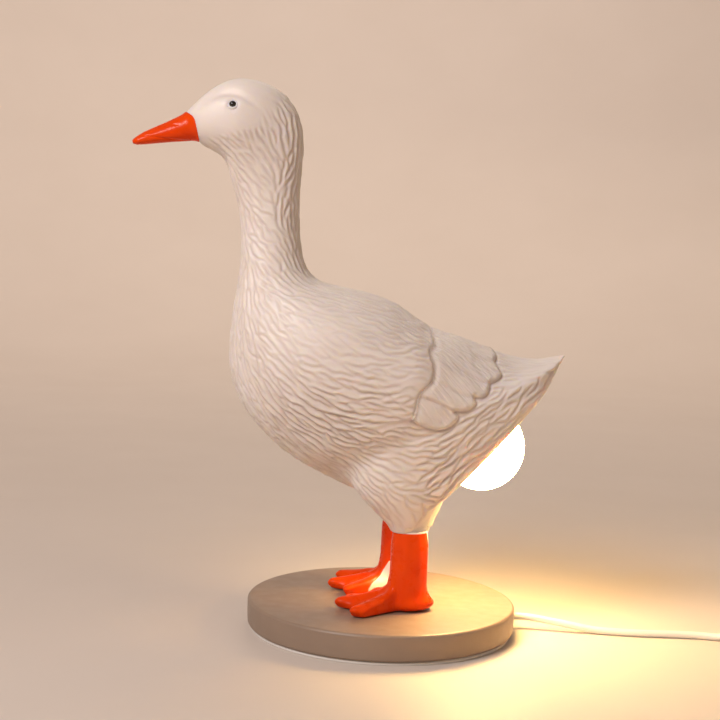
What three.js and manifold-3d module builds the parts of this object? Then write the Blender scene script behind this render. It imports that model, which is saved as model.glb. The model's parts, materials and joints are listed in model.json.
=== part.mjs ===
// A table lamp in the shape of a standing goose. Millimetres, +Z up.
// The origin is the centre of the base's underside. The goose looks along -X, its left is -Y.
// A globe lamp screws into a holder in a recess under the tail, and the lead leaves the back of the base.
import * as THREE from "three";
import { mergeVertices } from "three/addons/utils/BufferGeometryUtils.js";
import Module from "manifold-3d";

const wasm = await Module();
wasm.setup();

// ---- driving dimensions -------------------------------------------------------------------------
const GAP = 0.3; // between pieces that touch

const BASE_RADIUS = 70;
const BASE_TOP = 15.5;
const BASE_UNDERSIDE = 1.9;
const BASE_CEILING = 11; // underside of the base's top plate
const BASE_HOLLOW_RADIUS = 58;
const COVER_RADIUS = 60.3;
const COVER_TOP = 3.5;
const PAD_RADIUS = 68.4;
const PAD_THICKNESS = 1.6;

const LEG_X = 11;
const LEG_Y = 19.5;
const LEG_TOP = 56;
const TUBE_RADIUS = 4; // M8 hollow threaded tube
const TUBE_BORE = 3;
const TUBE_BOTTOM = 6.5;
const TUBE_TOP = 68.5;
const INSERT_RADIUS = 6.2;

const GLOBE = new THREE.Vector3(49.3, 0, 97.5); // centre of the lamp's globe
const GLOBE_RADIUS = 22.5; // G45 lamp
const AXIS_TILT = THREE.MathUtils.degToRad(132); // from straight up to the lamp's axis, towards +X
const REAR_PLANE = -2.3; // the goose's flat rear, measured along the lamp's axis from the globe
const RECESS_FLOOR = -34.3;
const HOLDER_RADIUS = 13.7;
const HOLDER_REAR = -80;
const THREAD_PITCH = 2.82; // E14
const THREAD_MEAN = 6.545;
const THREAD_DEPTH = 0.4;
const THREAD_PLAY = 0.55;
const THREAD_COLUMNS = 16;
const HOLDER_SCREW_Y = 16.4;
const TERMINAL_Y = 3.6;

const CORD_RADIUS = 1.9;
const CORD_EXIT_Z = 7;
const CORD_START_X = 46;
const WIRE_RADIUS = 0.8;
const SWITCH_CENTRE = [216, -33];
const SWITCH_TURN = THREE.MathUtils.degToRad(-16);
const SWITCH_LENGTH = 52;
const SWITCH_WIDTH = 18;
const SWITCH_HEIGHT = 11;
const SWITCH_CORD_Z = 5;
const ROCKER_PIVOT_Z = 8.2;
const COIL_CENTRE = [242, 8];
const COIL_MID_RADIUS = 22.8;
const COIL_PITCH = 3.9;
const COIL_COLUMNS = 4;
const COIL_LIFT = 1;
const PLUG_Y = 46;
const PLUG_Z = 4.2;

// ---- materials ----------------------------------------------------------------------------------
function paint(color, roughness, metalness = 0) {
  return new THREE.MeshStandardMaterial({ color, roughness, metalness });
}
const whiteResin = paint(0xefe8de, 0.5);
const orangeResin = paint(0xd9450c, 0.25);
const baseResin = paint(0xb9a998, 0.45);
const blackGlass = paint(0x0b0a0a, 0.08);
const padFoam = paint(0xd8d2ca, 0.9);
const sheetSteel = paint(0x9a9a98, 0.4, 0.9);
const steel = paint(0xb4b4b2, 0.3, 1);
const brass = paint(0xc9a24a, 0.3, 1);
const holderPlastic = paint(0xf0eee8, 0.4);
const opal = paint(0xfff3dc, 0.35);
const lampPlastic = paint(0xf4f2ee, 0.4);
const boardWhite = paint(0xe8ece8, 0.5);
const boardGreen = paint(0x2d6b3f, 0.5);
const nickel = paint(0xc8c6c0, 0.25, 1);
const blackPlastic = paint(0x1c1c1c, 0.4);
const cordPvc = paint(0xf3f1ec, 0.45);
const wireBrown = paint(0x6b3a1e, 0.5);
const wireBlue = paint(0x2b4f94, 0.5);

// ---- solids -------------------------------------------------------------------------------------
function signedVolume(points, index) {
  const [a, b, c] = [new THREE.Vector3(), new THREE.Vector3(), new THREE.Vector3()];
  let volume = 0;
  for (let i = 0; i < index.length; i += 3) {
    a.fromArray(points, 3 * index[i]);
    b.fromArray(points, 3 * index[i + 1]);
    c.fromArray(points, 3 * index[i + 2]);
    volume += a.dot(b.cross(c)) / 6;
  }
  return volume;
}

// Shares the vertices, drops collapsed triangles and turns the faces outward.
function closed(geometry) {
  const bare = new THREE.BufferGeometry();
  bare.setAttribute("position", geometry.getAttribute("position"));
  if (geometry.index) bare.setIndex(geometry.index);
  const merged = mergeVertices(bare, 1e-4);
  const points = merged.getAttribute("position").array;
  const index = [];
  for (let i = 0; i < merged.index.count; i += 3) {
    const [a, b, c] = [0, 1, 2].map((k) => merged.index.getX(i + k));
    if (a !== b && b !== c && c !== a) index.push(a, b, c);
  }
  if (signedVolume(points, index) < 0) index.reverse();
  merged.setIndex(index);
  return merged;
}

function toSolid(geometry) {
  const shape = closed(geometry);
  const vertProperties = new Float32Array(shape.getAttribute("position").array);
  const triVerts = new Uint32Array(shape.index.array);
  return new wasm.Manifold(new wasm.Mesh({ numProp: 3, vertProperties, triVerts }));
}

function toGeometry(solid) {
  const mesh = solid.getMesh();
  const geometry = new THREE.BufferGeometry();
  geometry.setAttribute("position", new THREE.BufferAttribute(new Float32Array(mesh.vertProperties), 3));
  geometry.setIndex(new THREE.BufferAttribute(new Uint32Array(mesh.triVerts), 1));
  return geometry;
}

function cut(whole, ...tools) {
  return toGeometry(tools.reduce((left, tool) => left.subtract(toSolid(tool)), toSolid(whole)));
}

function join(first, ...others) {
  return toGeometry(others.reduce((sum, other) => sum.add(toSolid(other)), toSolid(first)));
}

// A solid turned about Z from [radius, z] points that start and end on the axis, or close on themselves.
function turned(profile, segments = 32) {
  const points = profile.map(([radius, z]) => new THREE.Vector2(radius, z));
  return closed(new THREE.LatheGeometry(points, segments).rotateX(Math.PI / 2));
}

const ring = (inner, outer, low, high, segments) =>
  turned([[inner, low], [outer, low], [outer, high], [inner, high], [inner, low]], segments);
const rod = (radius, low, high, segments = 20) =>
  turned([[0, low], [radius, low], [radius, high], [0, high]], segments);

// A round tube along a smooth path through the points.
function cable(points, radius, steps, sides = 8) {
  const path = new THREE.CatmullRomCurve3(points.map((p) => new THREE.Vector3(...p)));
  const outline = Array.from({ length: sides }, (_, i) => {
    const angle = ((i + 0.5) / sides) * 2 * Math.PI;
    return new THREE.Vector2(radius * Math.cos(angle), radius * Math.sin(angle));
  });
  const options = { steps, bevelEnabled: false, extrudePath: path };
  return closed(new THREE.ExtrudeGeometry(new THREE.Shape(outline), options));
}

// A closed skin over rings of equal point counts, closed at each end by a fan.
function loft(rings) {
  const points = rings.flat();
  const count = rings[0].length;
  const index = [];
  for (let r = 0; r + 1 < rings.length; r++) {
    for (let i = 0; i < count; i++) {
      const next = (i + 1) % count;
      const [a, b] = [r * count + i, r * count + next];
      index.push(a, b, b + count, a, b + count, a + count);
    }
  }
  for (const [r, flip] of [[0, true], [rings.length - 1, false]]) {
    const centre = rings[r].reduce((sum, p) => sum.add(p), new THREE.Vector3()).divideScalar(count);
    points.push(centre);
    for (let i = 0; i < count; i++) {
      const [a, b] = [r * count + i, r * count + ((i + 1) % count)];
      index.push(...(flip ? [b, a, points.length - 1] : [a, b, points.length - 1]));
    }
  }
  const geometry = new THREE.BufferGeometry();
  geometry.setAttribute("position", new THREE.Float32BufferAttribute(points.flatMap((p) => p.toArray()), 3));
  geometry.setIndex(index);
  return closed(geometry);
}

// Number lists blended smoothly through the given ones, with steps between each neighbouring pair.
function blended(lists, steps) {
  const at = (i) => lists[Math.min(Math.max(i, 0), lists.length - 1)];
  const out = [];
  for (let i = 0; i + 1 < lists.length; i++) {
    for (let k = 0; k < steps; k++) {
      const t = k / steps;
      out.push(at(i).map((b, n) => {
        const [a, c, d] = [at(i - 1)[n], at(i + 1)[n], at(i + 2)[n]];
        return b + 0.5 * t * (c - a + t * (2 * a - 5 * b + 4 * c - d + t * (3 * (b - c) + d - a)));
      }));
    }
  }
  out.push(lists[lists.length - 1]);
  return out;
}

// ---- the goose ----------------------------------------------------------------------------------
// A section is an oval across the goose, seen edge-on from the side as the line from a point on the back
// to a point on the front: [backX, backZ, frontX, frontZ, half width, where it is widest from back to
// front, half width of its flat back end, sharpness of its back end]. Sharpness 1 is an ellipse.
const HEAD_TO_TAIL = [
  [-109.8, 263.8, -102.7, 249.6, 7.4, 0.5, 0, 1],
  [-105.5, 268.3, -99.5, 247.8, 10.6, 0.5, 0, 1],
  [-98, 275.4, -95, 245.5, 14.2, 0.5, 0, 1],
  [-88, 281.3, -91, 243.2, 16.8, 0.48, 0, 1],
  [-77.5, 282.3, -88.6, 240.5, 17.6, 0.48, 0, 1],
  [-67, 279.6, -87.2, 237, 17.2, 0.48, 0, 1],
  [-58.3, 273.8, -86, 233.5, 16.2, 0.5, 0, 1],
  [-52.2, 264.5, -85, 229.5, 15.2, 0.5, 0, 1],
  [-49.6, 253.5, -83.6, 225, 14.5, 0.5, 0, 1],
  [-49.6, 242.5, -82, 220, 14.2, 0.5, 0, 1],
  [-50.4, 229, -80.5, 213.5, 14.3, 0.5, 0, 1],
  [-50.4, 214.5, -79.5, 204, 15, 0.5, 0, 1],
  [-49.2, 201, -79.3, 194, 17, 0.5, 0, 1],
  [-46.4, 189.2, -79.9, 184.5, 20.5, 0.5, 0, 1],
  [-39, 181.6, -81, 175, 26, 0.5, 0, 1],
  [-26, 178.6, -82.6, 162.5, 34, 0.5, 0, 1],
  [-11.5, 176, -83.8, 146, 40.5, 0.48, 0, 1],
  [3, 170.8, -82.4, 131.8, 45.5, 0.46, 0, 1],
  [18, 160.6, -77.2, 119, 48, 0.45, 0, 1],
  [35, 155.6, -68.5, 107.2, 48, 0.45, 0, 1.05],
  [52, 149.2, -58.5, 97.8, 46.5, 0.47, 0, 1.15],
  [67.5, 145.3, -50.5, 91.6, 45, 0.5, 0, 1.25],
  [80, 145.2, -44.5, 87.9, 43, 0.52, 0, 1.3],
  [91.2, 148, -39.3, 85.1, 42, 0.54, 0, 1.3],
];
const REAR_FACE = [
  [91.2, 148, -39.3, 85.1, 42, 0.54, 0, 1.3],
  [88.6, 144.6, -37.3, 84.2, 42, 0.54, 6, 1.2],
  [83.8, 139.3, -34, 82.6, 41.6, 0.54, 15, 1.1],
  [78.2, 133, -30.2, 80.9, 41, 0.54, 23.5, 1],
  [72, 126.1, -26, 79, 40.2, 0.53, 28.5, 1],
  [62, 115, -19.5, 76.2, 38.6, 0.52, 31.5, 1],
  [52, 103.9, -12, 73, 36.6, 0.5, 33, 1],
  [42, 92.8, -4, 70.2, 34.6, 0.48, 33, 1],
  [34, 83.9, 3.5, 68.2, 33.4, 0.45, 32, 1],
  [28, 77.2, 10, 67.2, 31.5, 0.42, 30, 1],
  [24, 72.8, 15, 67.6, 28, 0.4, 26, 1],
];
const RING_STEPS = 10; // from the back to the front, on each side

function sectionRing([backX, backZ, frontX, frontZ, half, widest, flat, sharp]) {
  const start = Math.asin(Math.min(flat / half, 0.999));
  const backReach = widest / Math.cos(start);
  const side = [];
  for (let i = 0; i <= RING_STEPS; i++) {
    const angle = start + (i / RING_STEPS) * (Math.PI - start);
    const behind = angle < Math.PI / 2;
    const along = widest - Math.cos(angle) * (behind ? backReach : 1 - widest);
    const width = half * Math.max(Math.sin(angle), 0) ** (behind ? sharp : 1);
    const [x, z] = [backX + along * (frontX - backX), backZ + along * (frontZ - backZ)];
    side.push(new THREE.Vector3(x, -width, z));
  }
  side[RING_STEPS].y = 0;
  if (flat < 1e-6) side[0].y = 0;
  const mirrored = side.slice(0, RING_STEPS).reverse().map((p) => new THREE.Vector3(p.x, -p.y, p.z));
  return [new THREE.Vector3(backX, 0, backZ), ...side, ...mirrored];
}

// Each thigh runs down from inside the body: [z, centre x, centre y, half depth, half width].
const THIGH = [
  [100, 4, 18, 27, 20],
  [86, 4, 19, 26.5, 19],
  [77, 5.5, 19.8, 23.3, 16.5],
  [71, 6.8, 20, 19.4, 14],
  [67, 8, 20, 16.4, 12.4],
  [63, 9.2, 19.8, 13.4, 11],
  [59.5, 10.4, 19.6, 11.2, 10],
  [LEG_TOP + GAP, LEG_X, LEG_Y, 9.7, 9.2],
];

function oval([z, x, y, halfDepth, halfWidth], side, count = 16) {
  return Array.from({ length: count }, (_, i) => {
    const angle = (i / count) * 2 * Math.PI;
    return new THREE.Vector3(x + halfDepth * Math.cos(angle), side * y + halfWidth * Math.sin(angle), z);
  });
}

const thigh = (side) => loft(THIGH.map((row) => oval(row, side)));

const axisTurn = new THREE.Matrix4().makeRotationY(AXIS_TILT);
const lampFrame = new THREE.Matrix4().makeTranslation(...GLOBE.toArray()).multiply(axisTurn);

// The recess under the tail and the pocket behind it, about the lamp's axis.
function recessTool() {
  const pocket = HOLDER_RADIUS + GAP + 0.2;
  return turned([
    [0, HOLDER_REAR - 7], [pocket, HOLDER_REAR - 7], [pocket, RECESS_FLOOR], [19.5, RECESS_FLOOR],
    [21.5, -31.5], [23.6, -25], [26, -15], [27.6, -6], [28.6, REAR_PLANE], [31, 6], [0, 6],
  ], 24).applyMatrix4(lampFrame);
}

// The wires climb the left leg's tube, cross the body in a cast channel and reach the holder's back.
const CHANNEL = [
  [LEG_X, -LEG_Y, 64], [LEG_X, -LEG_Y, 76], [-4, -24, 94], [-24, -25, 116], [-32, -19, 138],
  [-28, -9, 155], [-19, -1, 158.5], [-11.6, 0, 152.4],
];

const EYE = { x: -86.4, y: 15.4, z: 268.6, radius: 2.1 };
const eyeBall = (side, radius) =>
  new THREE.SphereGeometry(radius, 9, 7).translate(EYE.x, side * EYE.y, EYE.z);

const holderScrewAt = (side) =>
  new THREE.Matrix4().makeTranslation(0, side * HOLDER_SCREW_Y, 0).premultiply(lampFrame);

function gooseBody() {
  const upper = blended(HEAD_TO_TAIL, 2);
  const rear = blended(REAR_FACE, 1).slice(1);
  const rings = [...upper, ...rear].map(sectionRing);
  const shape = join(loft(rings), thigh(-1), thigh(1));
  const insertBores = [-1, 1].map((side) =>
    rod(INSERT_RADIUS + GAP, LEG_TOP - 1, 71, 12).translate(LEG_X, side * LEG_Y, 0));
  const screwHoles = [-1, 1].map((side) =>
    rod(1.7, -44, RECESS_FLOOR + 1, 8).applyMatrix4(holderScrewAt(side)));
  const sockets = [-1, 1].map((side) => eyeBall(side, EYE.radius + GAP));
  return cut(shape, recessTool(), cable(CHANNEL, 3.9, 14, 6), ...insertBores, ...screwHoles, ...sockets);
}

// The bill: sections as on the body, from its seam with the face to its rounded tip.
const BILL = [
  [-110.1, 263.5, -103, 249.3, 7.4, 0.55, 0, 1],
  [-113.6, 261.4, -109.2, 249.4, 7, 0.6, 0, 1],
  [-118.5, 258.7, -115.2, 248.9, 6.3, 0.62, 0, 1],
  [-124, 256.1, -121.6, 248.1, 5.6, 0.62, 0, 1],
  [-129.5, 253.4, -128.4, 247.2, 5, 0.6, 0, 1],
  [-133.4, 250.8, -133.2, 246.8, 3.9, 0.58, 0, 1],
  [-135.4, 248.9, -135.3, 247.4, 1.9, 0.5, 0, 1],
];
const bill = () => loft(BILL.map(sectionRing));

// ---- legs ---------------------------------------------------------------------------------------
// Each toe by the angle that it points at, with 180 straight ahead, and how far its tip is from the leg.
const TOES = [
  { angle: 153, reach: 35 }, // inner
  { angle: 181, reach: 37.2 }, // middle
  { angle: 213, reach: 36.6 }, // outer
];
const TOE_SPREAD = 8; // degrees from a toe's middle to its side
const WEB_REACH = 29.5;
const HEEL_REACH = 14.8;
const HEEL_NARROWING = 4; // how much less the foot reaches beside the leg than behind it
const FOOT_COLUMNS = 36;

// How far the foot's outline lies from the leg's axis at an angle, 0 to the rear and 180 to the front.
function footReach(degrees) {
  const [inner, , outer] = TOES;
  const tips = TOES.map((toe) => toe.reach - 5 * (Math.abs(degrees - toe.angle) / TOE_SPREAD) ** 2.4);
  const past = Math.max(inner.angle - degrees, degrees - outer.angle, 0);
  const web = past > 0 ? WEB_REACH * 11 / (11 + past) : WEB_REACH;
  const heel = HEEL_REACH - HEEL_NARROWING * Math.abs(Math.sin(THREE.MathUtils.degToRad(degrees)));
  return Math.max(...tips, web, heel);
}

// Rings from the leg's top down over the ankle and the toes: [z, share of the way out to the outline,
// share by which the rounded heel is drawn in].
const LEG_RINGS = [[LEG_TOP, 0, 0], [34, 0.01, 0], [28, 0.06, 0], [24.8, 0.2, 0], [22.6, 0.45, 0]];
const TOE_RINGS = [[20.6, 0.82, 0], [18.8, 0.98, 0.03], [17, 1, 0.14], [BASE_TOP + GAP, 0.95, 0.36]];

function leg(side) {
  const rings = [...LEG_RINGS, ...TOE_RINGS].map(([z, out, tuck]) =>
    Array.from({ length: FOOT_COLUMNS }, (_, i) => {
      const degrees = (i / FOOT_COLUMNS) * 360;
      const angle = THREE.MathUtils.degToRad(degrees);
      const shank = 9.1 / Math.hypot(Math.cos(angle) / 1.045, Math.sin(angle) / 0.96);
      const reach = footReach(degrees);
      const heelShare = THREE.MathUtils.clamp((22 - reach) / 7, 0, 1);
      const radius = (shank + out * (reach - shank)) * (1 - tuck * heelShare);
      const [forward, inward] = [radius * Math.cos(angle), radius * Math.sin(angle)];
      return new THREE.Vector3(LEG_X + forward, side * (LEG_Y - inward), z);
    }));
  const bore = rod(TUBE_RADIUS + GAP, BASE_TOP - 1, LEG_TOP + 1, 12).translate(LEG_X, side * LEG_Y, 0);
  return cut(loft(rings), bore);
}

// A hexagon nut about Z at the origin of its own place.
function hexNut(acrossFlats, bore, low, high) {
  const corner = acrossFlats / Math.sqrt(3);
  return cut(rod(corner, low, high, 6), rod(bore, low - 1, high + 1, 12));
}

// ---- base ---------------------------------------------------------------------------------------
const COVER_SCREWS = [90, 210, 330].map((degrees) => {
  const angle = THREE.MathUtils.degToRad(degrees);
  return [50 * Math.cos(angle), 50 * Math.sin(angle)];
});
const CLAMP_X = 50;
const CLAMP_SCREW_Y = 6.5;

function baseDisc() {
  const disc = turned([
    [0, BASE_TOP], [67.2, BASE_TOP], [69.4, 14.6], [BASE_RADIUS, 12.6], [69.6, 3.4],
    [68.8, BASE_UNDERSIDE], [COVER_RADIUS + GAP, BASE_UNDERSIDE],
    [COVER_RADIUS + GAP, COVER_TOP + GAP], [BASE_HOLLOW_RADIUS, COVER_TOP + GAP],
    [BASE_HOLLOW_RADIUS, BASE_CEILING], [0, BASE_CEILING],
  ], 40);
  const bosses = COVER_SCREWS.map(([x, y]) =>
    rod(4, COVER_TOP + GAP, BASE_CEILING + 1, 8).translate(x, y, 0));
  const clampPosts = [-1, 1].map((side) =>
    rod(3, 6.8, BASE_CEILING + 1, 8).translate(CLAMP_X, side * CLAMP_SCREW_Y, 0));
  const tubeHoles = [-1, 1].map((side) =>
    rod(TUBE_RADIUS + GAP, 10, 17, 12).translate(LEG_X, side * LEG_Y, 0));
  const coverHoles = COVER_SCREWS.map(([x, y]) => rod(1.7, 2, 12.5, 8).translate(x, y, 0));
  const clampHoles = [-1, 1].map((side) => rod(1.5, 2, 13, 8).translate(CLAMP_X, side * CLAMP_SCREW_Y, 0));
  const exit = rod(3.7, 0, 16, 12).rotateY(Math.PI / 2).translate(56, 0, CORD_EXIT_Z);
  return cut(join(disc, ...bosses, ...clampPosts), ...tubeHoles, ...coverHoles, ...clampHoles, exit);
}

function bottomCover() {
  const plate = rod(COVER_RADIUS, BASE_UNDERSIDE, COVER_TOP, 40);
  const sinks = COVER_SCREWS.map(([x, y]) =>
    turned([[0, 1.8], [3.3, 1.8], [1.7, COVER_TOP + 0.1], [0, COVER_TOP + 0.1]], 12).translate(x, y, 0));
  return cut(plate, ...sinks);
}

const coverScrew = () => turned([[0, 1.95], [2.8, 1.95], [1.35, 3.4], [1.35, 11], [0, 11.6]], 12);

// The saddle that holds the lead's end against the base.
function cordClamp() {
  const [halfY, low, high] = [9.5, 3.9, 6.5];
  const block = new THREE.BoxGeometry(8, 2 * halfY, high - low).translate(CLAMP_X, 0, (low + high) / 2);
  const groove = rod(CORD_RADIUS + GAP, 0, 12, 12).rotateY(Math.PI / 2)
    .translate(CLAMP_X - 6, 0, CORD_EXIT_Z);
  const holes = [-1, 1].map((side) =>
    turned([[0, 3], [2.9, 3], [2.9, 5.3], [1.6, 5.3], [1.6, 8], [0, 8]], 10)
      .translate(CLAMP_X, side * CLAMP_SCREW_Y, 0));
  return cut(block, groove, ...holes);
}

const clampScrew = () => turned([[0, 4], [2.6, 4], [2.6, 5], [1.2, 5], [1.2, 12], [0, 12.4]], 10);

// ---- holder and lamp, in the lamp's own frame: +Z points out along its axis ---------------------
function holderBody() {
  const body = turned([
    [0, -61], [6, -61], [11.6, -61], [11.6, -78], [HOLDER_RADIUS, -78], [HOLDER_RADIUS, -34], [19, -34],
    [19, -32.4], [18.6, -32], [8.3, -32], [8.3, -58.2], [0, -58.2],
  ], 24);
  const contactHole = rod(2.8, -62, -57, 12);
  const shellLead = rod(1.2, -62, -57, 8).translate(0, 6, 0);
  const screwHoles = [-1, 1].map((side) => rod(1.7, -35, -31, 10).translate(0, side * HOLDER_SCREW_Y, 0));
  return cut(body, contactHole, shellLead, ...screwHoles);
}

const holderCap = () => ring(3.2, HOLDER_RADIUS, HOLDER_REAR, -78.3, 24);
const holderContact = () =>
  turned([[0, -64], [1.6, -64], [1.6, -57.4], [2.4, -57.4], [2.4, -55.8], [0, -55.8]], 12);
const holderScrew = () =>
  turned([[0, -42], [1.2, -41], [1.2, -31.7], [2.7, -31.7], [2.4, -30.2], [0, -29.9]], 10);

function terminalBlock() {
  const block = new THREE.BoxGeometry(7, 15, 8).translate(0, 0, -70);
  const wireHoles = [-1, 1].map((side) => rod(1.2, -75, -68, 8).translate(0, side * TERMINAL_Y, 0));
  const screwHoles = [-1, 1].map((side) =>
    rod(1.5, 0, 6, 8).rotateY(Math.PI / 2).translate(1.2, side * TERMINAL_Y, -70.8));
  return cut(block, ...wireHoles, ...screwHoles);
}
const terminalScrew = (side) =>
  rod(1.2, 1.6, 4.6, 8).rotateY(Math.PI / 2).translate(0, side * TERMINAL_Y, -70.8);

// A wall about Z between two surfaces given as radius(angle, z), each with its own number of rows.
function wall(outer, outerRows, inner, innerRows, low, high, columns = THREAD_COLUMNS) {
  const level = (row, rows) => low + (row / rows) * (high - low);
  const loops = [];
  for (let row = 0; row <= outerRows; row++) loops.push([outer, level(row, outerRows)]);
  for (let row = innerRows; row >= 0; row--) loops.push([inner, level(row, innerRows)]);
  const points = loops.flatMap(([surface, z]) => Array.from({ length: columns }, (_, column) => {
    const angle = (column / columns) * 2 * Math.PI;
    const radius = surface(angle, z);
    return [radius * Math.cos(angle), radius * Math.sin(angle), z];
  }));
  const index = [];
  for (let loop = 0; loop < loops.length; loop++) {
    for (let column = 0; column < columns; column++) {
      const [next, right] = [(loop + 1) % loops.length, (column + 1) % columns];
      const [a, b] = [loop * columns + column, loop * columns + right];
      const [c, d] = [next * columns + column, next * columns + right];
      index.push(a, b, d, a, d, c);
    }
  }
  const geometry = new THREE.BufferGeometry();
  geometry.setAttribute("position", new THREE.Float32BufferAttribute(points.flat(), 3));
  geometry.setIndex(index);
  return closed(geometry);
}

// A right-hand thread whose depth fades in and out over one pitch at its ends.
function threadRadius(mean, from, to) {
  return (angle, z) => {
    const fade = THREE.MathUtils.clamp(Math.min(z - from, to - z) / THREAD_PITCH, 0, 1);
    return mean + THREAD_DEPTH * fade * Math.cos((2 * Math.PI * z) / THREAD_PITCH - angle);
  };
}

const lampCap = () => {
  const skin = wall(threadRadius(THREAD_MEAN, -50, -34), 26, () => 5.5, 1, -50, -31.3);
  const shoulder = [[3, -51.2], [4.6, -51.2], [6.3, -49.9], [6.3, -49.2], [3, -49.2], [3, -51.2]];
  return join(skin, turned(shoulder, THREAD_COLUMNS));
};
const holderThread = () =>
  wall(() => 8, 1, threadRadius(THREAD_MEAN + THREAD_PLAY, -56, -36), 30, -57, -35);

const capInsulator = () => ring(2.3, 4.6, -53.4, -51.5, 16);
const lampContact = () => turned([[0, -55.5], [1.4, -55.3], [2, -54.6], [2, -50], [0, -50]], 14);

// The lamp's opal globe, open at its neck.
function globeShell() {
  const [mouth, thickness] = [-15.5, 1.2];
  const arc = (radius, steps) => {
    const from = Math.acos(mouth / radius);
    return Array.from({ length: steps + 1 }, (_, i) => {
      const angle = from * (1 - i / steps);
      return [radius * Math.sin(angle), radius * Math.cos(angle)];
    });
  };
  const [outer, inner] = [arc(GLOBE_RADIUS, 8), arc(GLOBE_RADIUS - thickness, 5)];
  outer[outer.length - 1][0] = 0;
  inner[inner.length - 1][0] = 0;
  return turned([...outer, ...inner.reverse(), outer[0]], 24);
}

const lampHousing = () => turned([
  [8.2, -31], [9.2, -28], [13.4, -20.5], [16.3, -15.8], [15, -15.8], [12.2, -20.6], [7.8, -28.2], [6.9, -31],
  [8.2, -31],
], 20);
const ledBoard = () => join(rod(12.3, -19.2, -18, 24), ring(7, 9.6, -18.2, -17.2, 12));

function driverBoard() {
  const board = new THREE.BoxGeometry(1.2, 9.6, 22).translate(0, 0, -31.5);
  const capacitor = rod(2.2, -36, -27, 10).translate(2.4, 0, 0);
  return join(board, capacitor);
}

// ---- wires --------------------------------------------------------------------------------------
// [x, y, z, half the spacing between the two wires], from the clamp to the terminal block.
function wirePoints(side) {
  const inBase = [
    [44.6, 0, CORD_EXIT_Z, 1.1], [34, -4, 5.4, 1.3], [20, -14, 5.1, 1.3], [13, -18.6, 5.1, 1.3],
  ];
  const climb = [[LEG_X, -LEG_Y, 8, 1.2], [LEG_X, -LEG_Y, 40, 1.3], [LEG_X, -LEG_Y, 66, 1.3]];
  const across = CHANNEL.slice(1, -1).map(([x, y, z]) => [x, y, z, 1.3]);
  const inHolder = [[-82, 1.3], [-78, 1.4], [-75, 3.2], [-72.5, TERMINAL_Y], [-69.5, TERMINAL_Y]];
  const behind = inHolder.map(([along, spread]) =>
    [...new THREE.Vector3(0, 0, along).applyMatrix4(lampFrame), spread]);
  return [...inBase, ...climb, ...across, ...behind].map(([x, y, z, spread]) => [x, y + side * spread, z]);
}
const wire = (side) => cable(wirePoints(side), WIRE_RADIUS, 44, 4);

// ---- the lead and what is on it -----------------------------------------------------------------
const switchPoint = (along, z) => [
  SWITCH_CENTRE[0] + along * Math.cos(SWITCH_TURN), SWITCH_CENTRE[1] + along * Math.sin(SWITCH_TURN), z,
];
const LEAD_OUT = [
  [CORD_START_X, 0, 7], [58, 0, 7], [70, 0, 7], [77, -0.3, 6.9], [84, -1.8, 6.3], [91, -3.7, 5.4],
  [99, -5.6, 4.3], [107, -7.2, 3.1], [114, -8.5, 2.2], [122, -10.2, 1.95], [132, -12.2, 1.95],
  [144, -13.8, 1.95], [157, -14.7, 1.95], [168, -16.2, 1.95], [177, -19.5, 2.2], [184, -22.8, 3.4],
  switchPoint(-SWITCH_LENGTH / 2 - 1.5, 4.7), switchPoint(-SWITCH_LENGTH / 2 + 6, SWITCH_CORD_Z),
];
const COIL_OUTER = COIL_MID_RADIUS + (COIL_COLUMNS / 2) * COIL_PITCH;
const COIL_SIDE_X = COIL_CENTRE[0] + COIL_OUTER;
const LEAD_TO_COIL = [
  switchPoint(SWITCH_LENGTH / 2 - 6, SWITCH_CORD_Z), switchPoint(SWITCH_LENGTH / 2 + 1.5, 4.7),
  [250, -42, 3], [259, -41, 2.1], [266.5, -36.5, 2], [271, -29.5, 2], [COIL_SIDE_X - 0.6, -21, 2.2],
  [COIL_SIDE_X, -11.5, 2.7],
];
const LEAD_TO_PLUG = [
  [COIL_SIDE_X, COIL_CENTRE[1] + 18.6, 4.6], [COIL_SIDE_X, 33, 3.3], [COIL_SIDE_X, 40, 3.6],
  [COIL_SIDE_X, PLUG_Y + 4, PLUG_Z], [COIL_SIDE_X, PLUG_Y + 12, PLUG_Z],
];

function coilSolid() {
  const reach = (COIL_COLUMNS / 2) * COIL_PITCH + CORD_RADIUS;
  const [inner, outer] = [COIL_MID_RADIUS - reach, COIL_MID_RADIUS + reach];
  return ring(inner, outer, COIL_LIFT, COIL_LIFT + 2 * COIL_PITCH, 28).translate(...COIL_CENTRE, 0);
}

// A flat strap round the coil's turns, on the side away from the lead.
function coilTie() {
  const [thickness, width] = [0.6, 9];
  const reach = COIL_COLUMNS * COIL_PITCH + 2 * CORD_RADIUS + 2 * (thickness + GAP) + 1.2;
  const height = COIL_LIFT + 2 * COIL_PITCH + thickness + GAP;
  const outer = new THREE.BoxGeometry(reach, width, height);
  const inner = new THREE.BoxGeometry(reach - 2 * thickness, width + 2, height - 2 * thickness);
  return cut(outer, inner).translate(COIL_CENTRE[0] - COIL_MID_RADIUS, COIL_CENTRE[1], height / 2);
}

function roundedSlab(length, width, corner, low, high, bevel) {
  const [x, y] = [length / 2 - bevel, width / 2 - bevel];
  const outline = new THREE.Shape();
  outline.moveTo(-x + corner, -y);
  outline.lineTo(x - corner, -y);
  outline.absarc(x - corner, -y + corner, corner, -Math.PI / 2, 0);
  outline.absarc(x - corner, y - corner, corner, 0, Math.PI / 2);
  outline.absarc(-x + corner, y - corner, corner, Math.PI / 2, Math.PI);
  outline.absarc(-x + corner, -y + corner, corner, Math.PI, 1.5 * Math.PI);
  const options = {
    depth: high - low - 2 * bevel, curveSegments: 3, bevelSegments: 1,
    bevelSize: bevel, bevelThickness: bevel, steps: 1,
  };
  return closed(new THREE.ExtrudeGeometry(outline, options).translate(0, 0, low + bevel));
}

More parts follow.
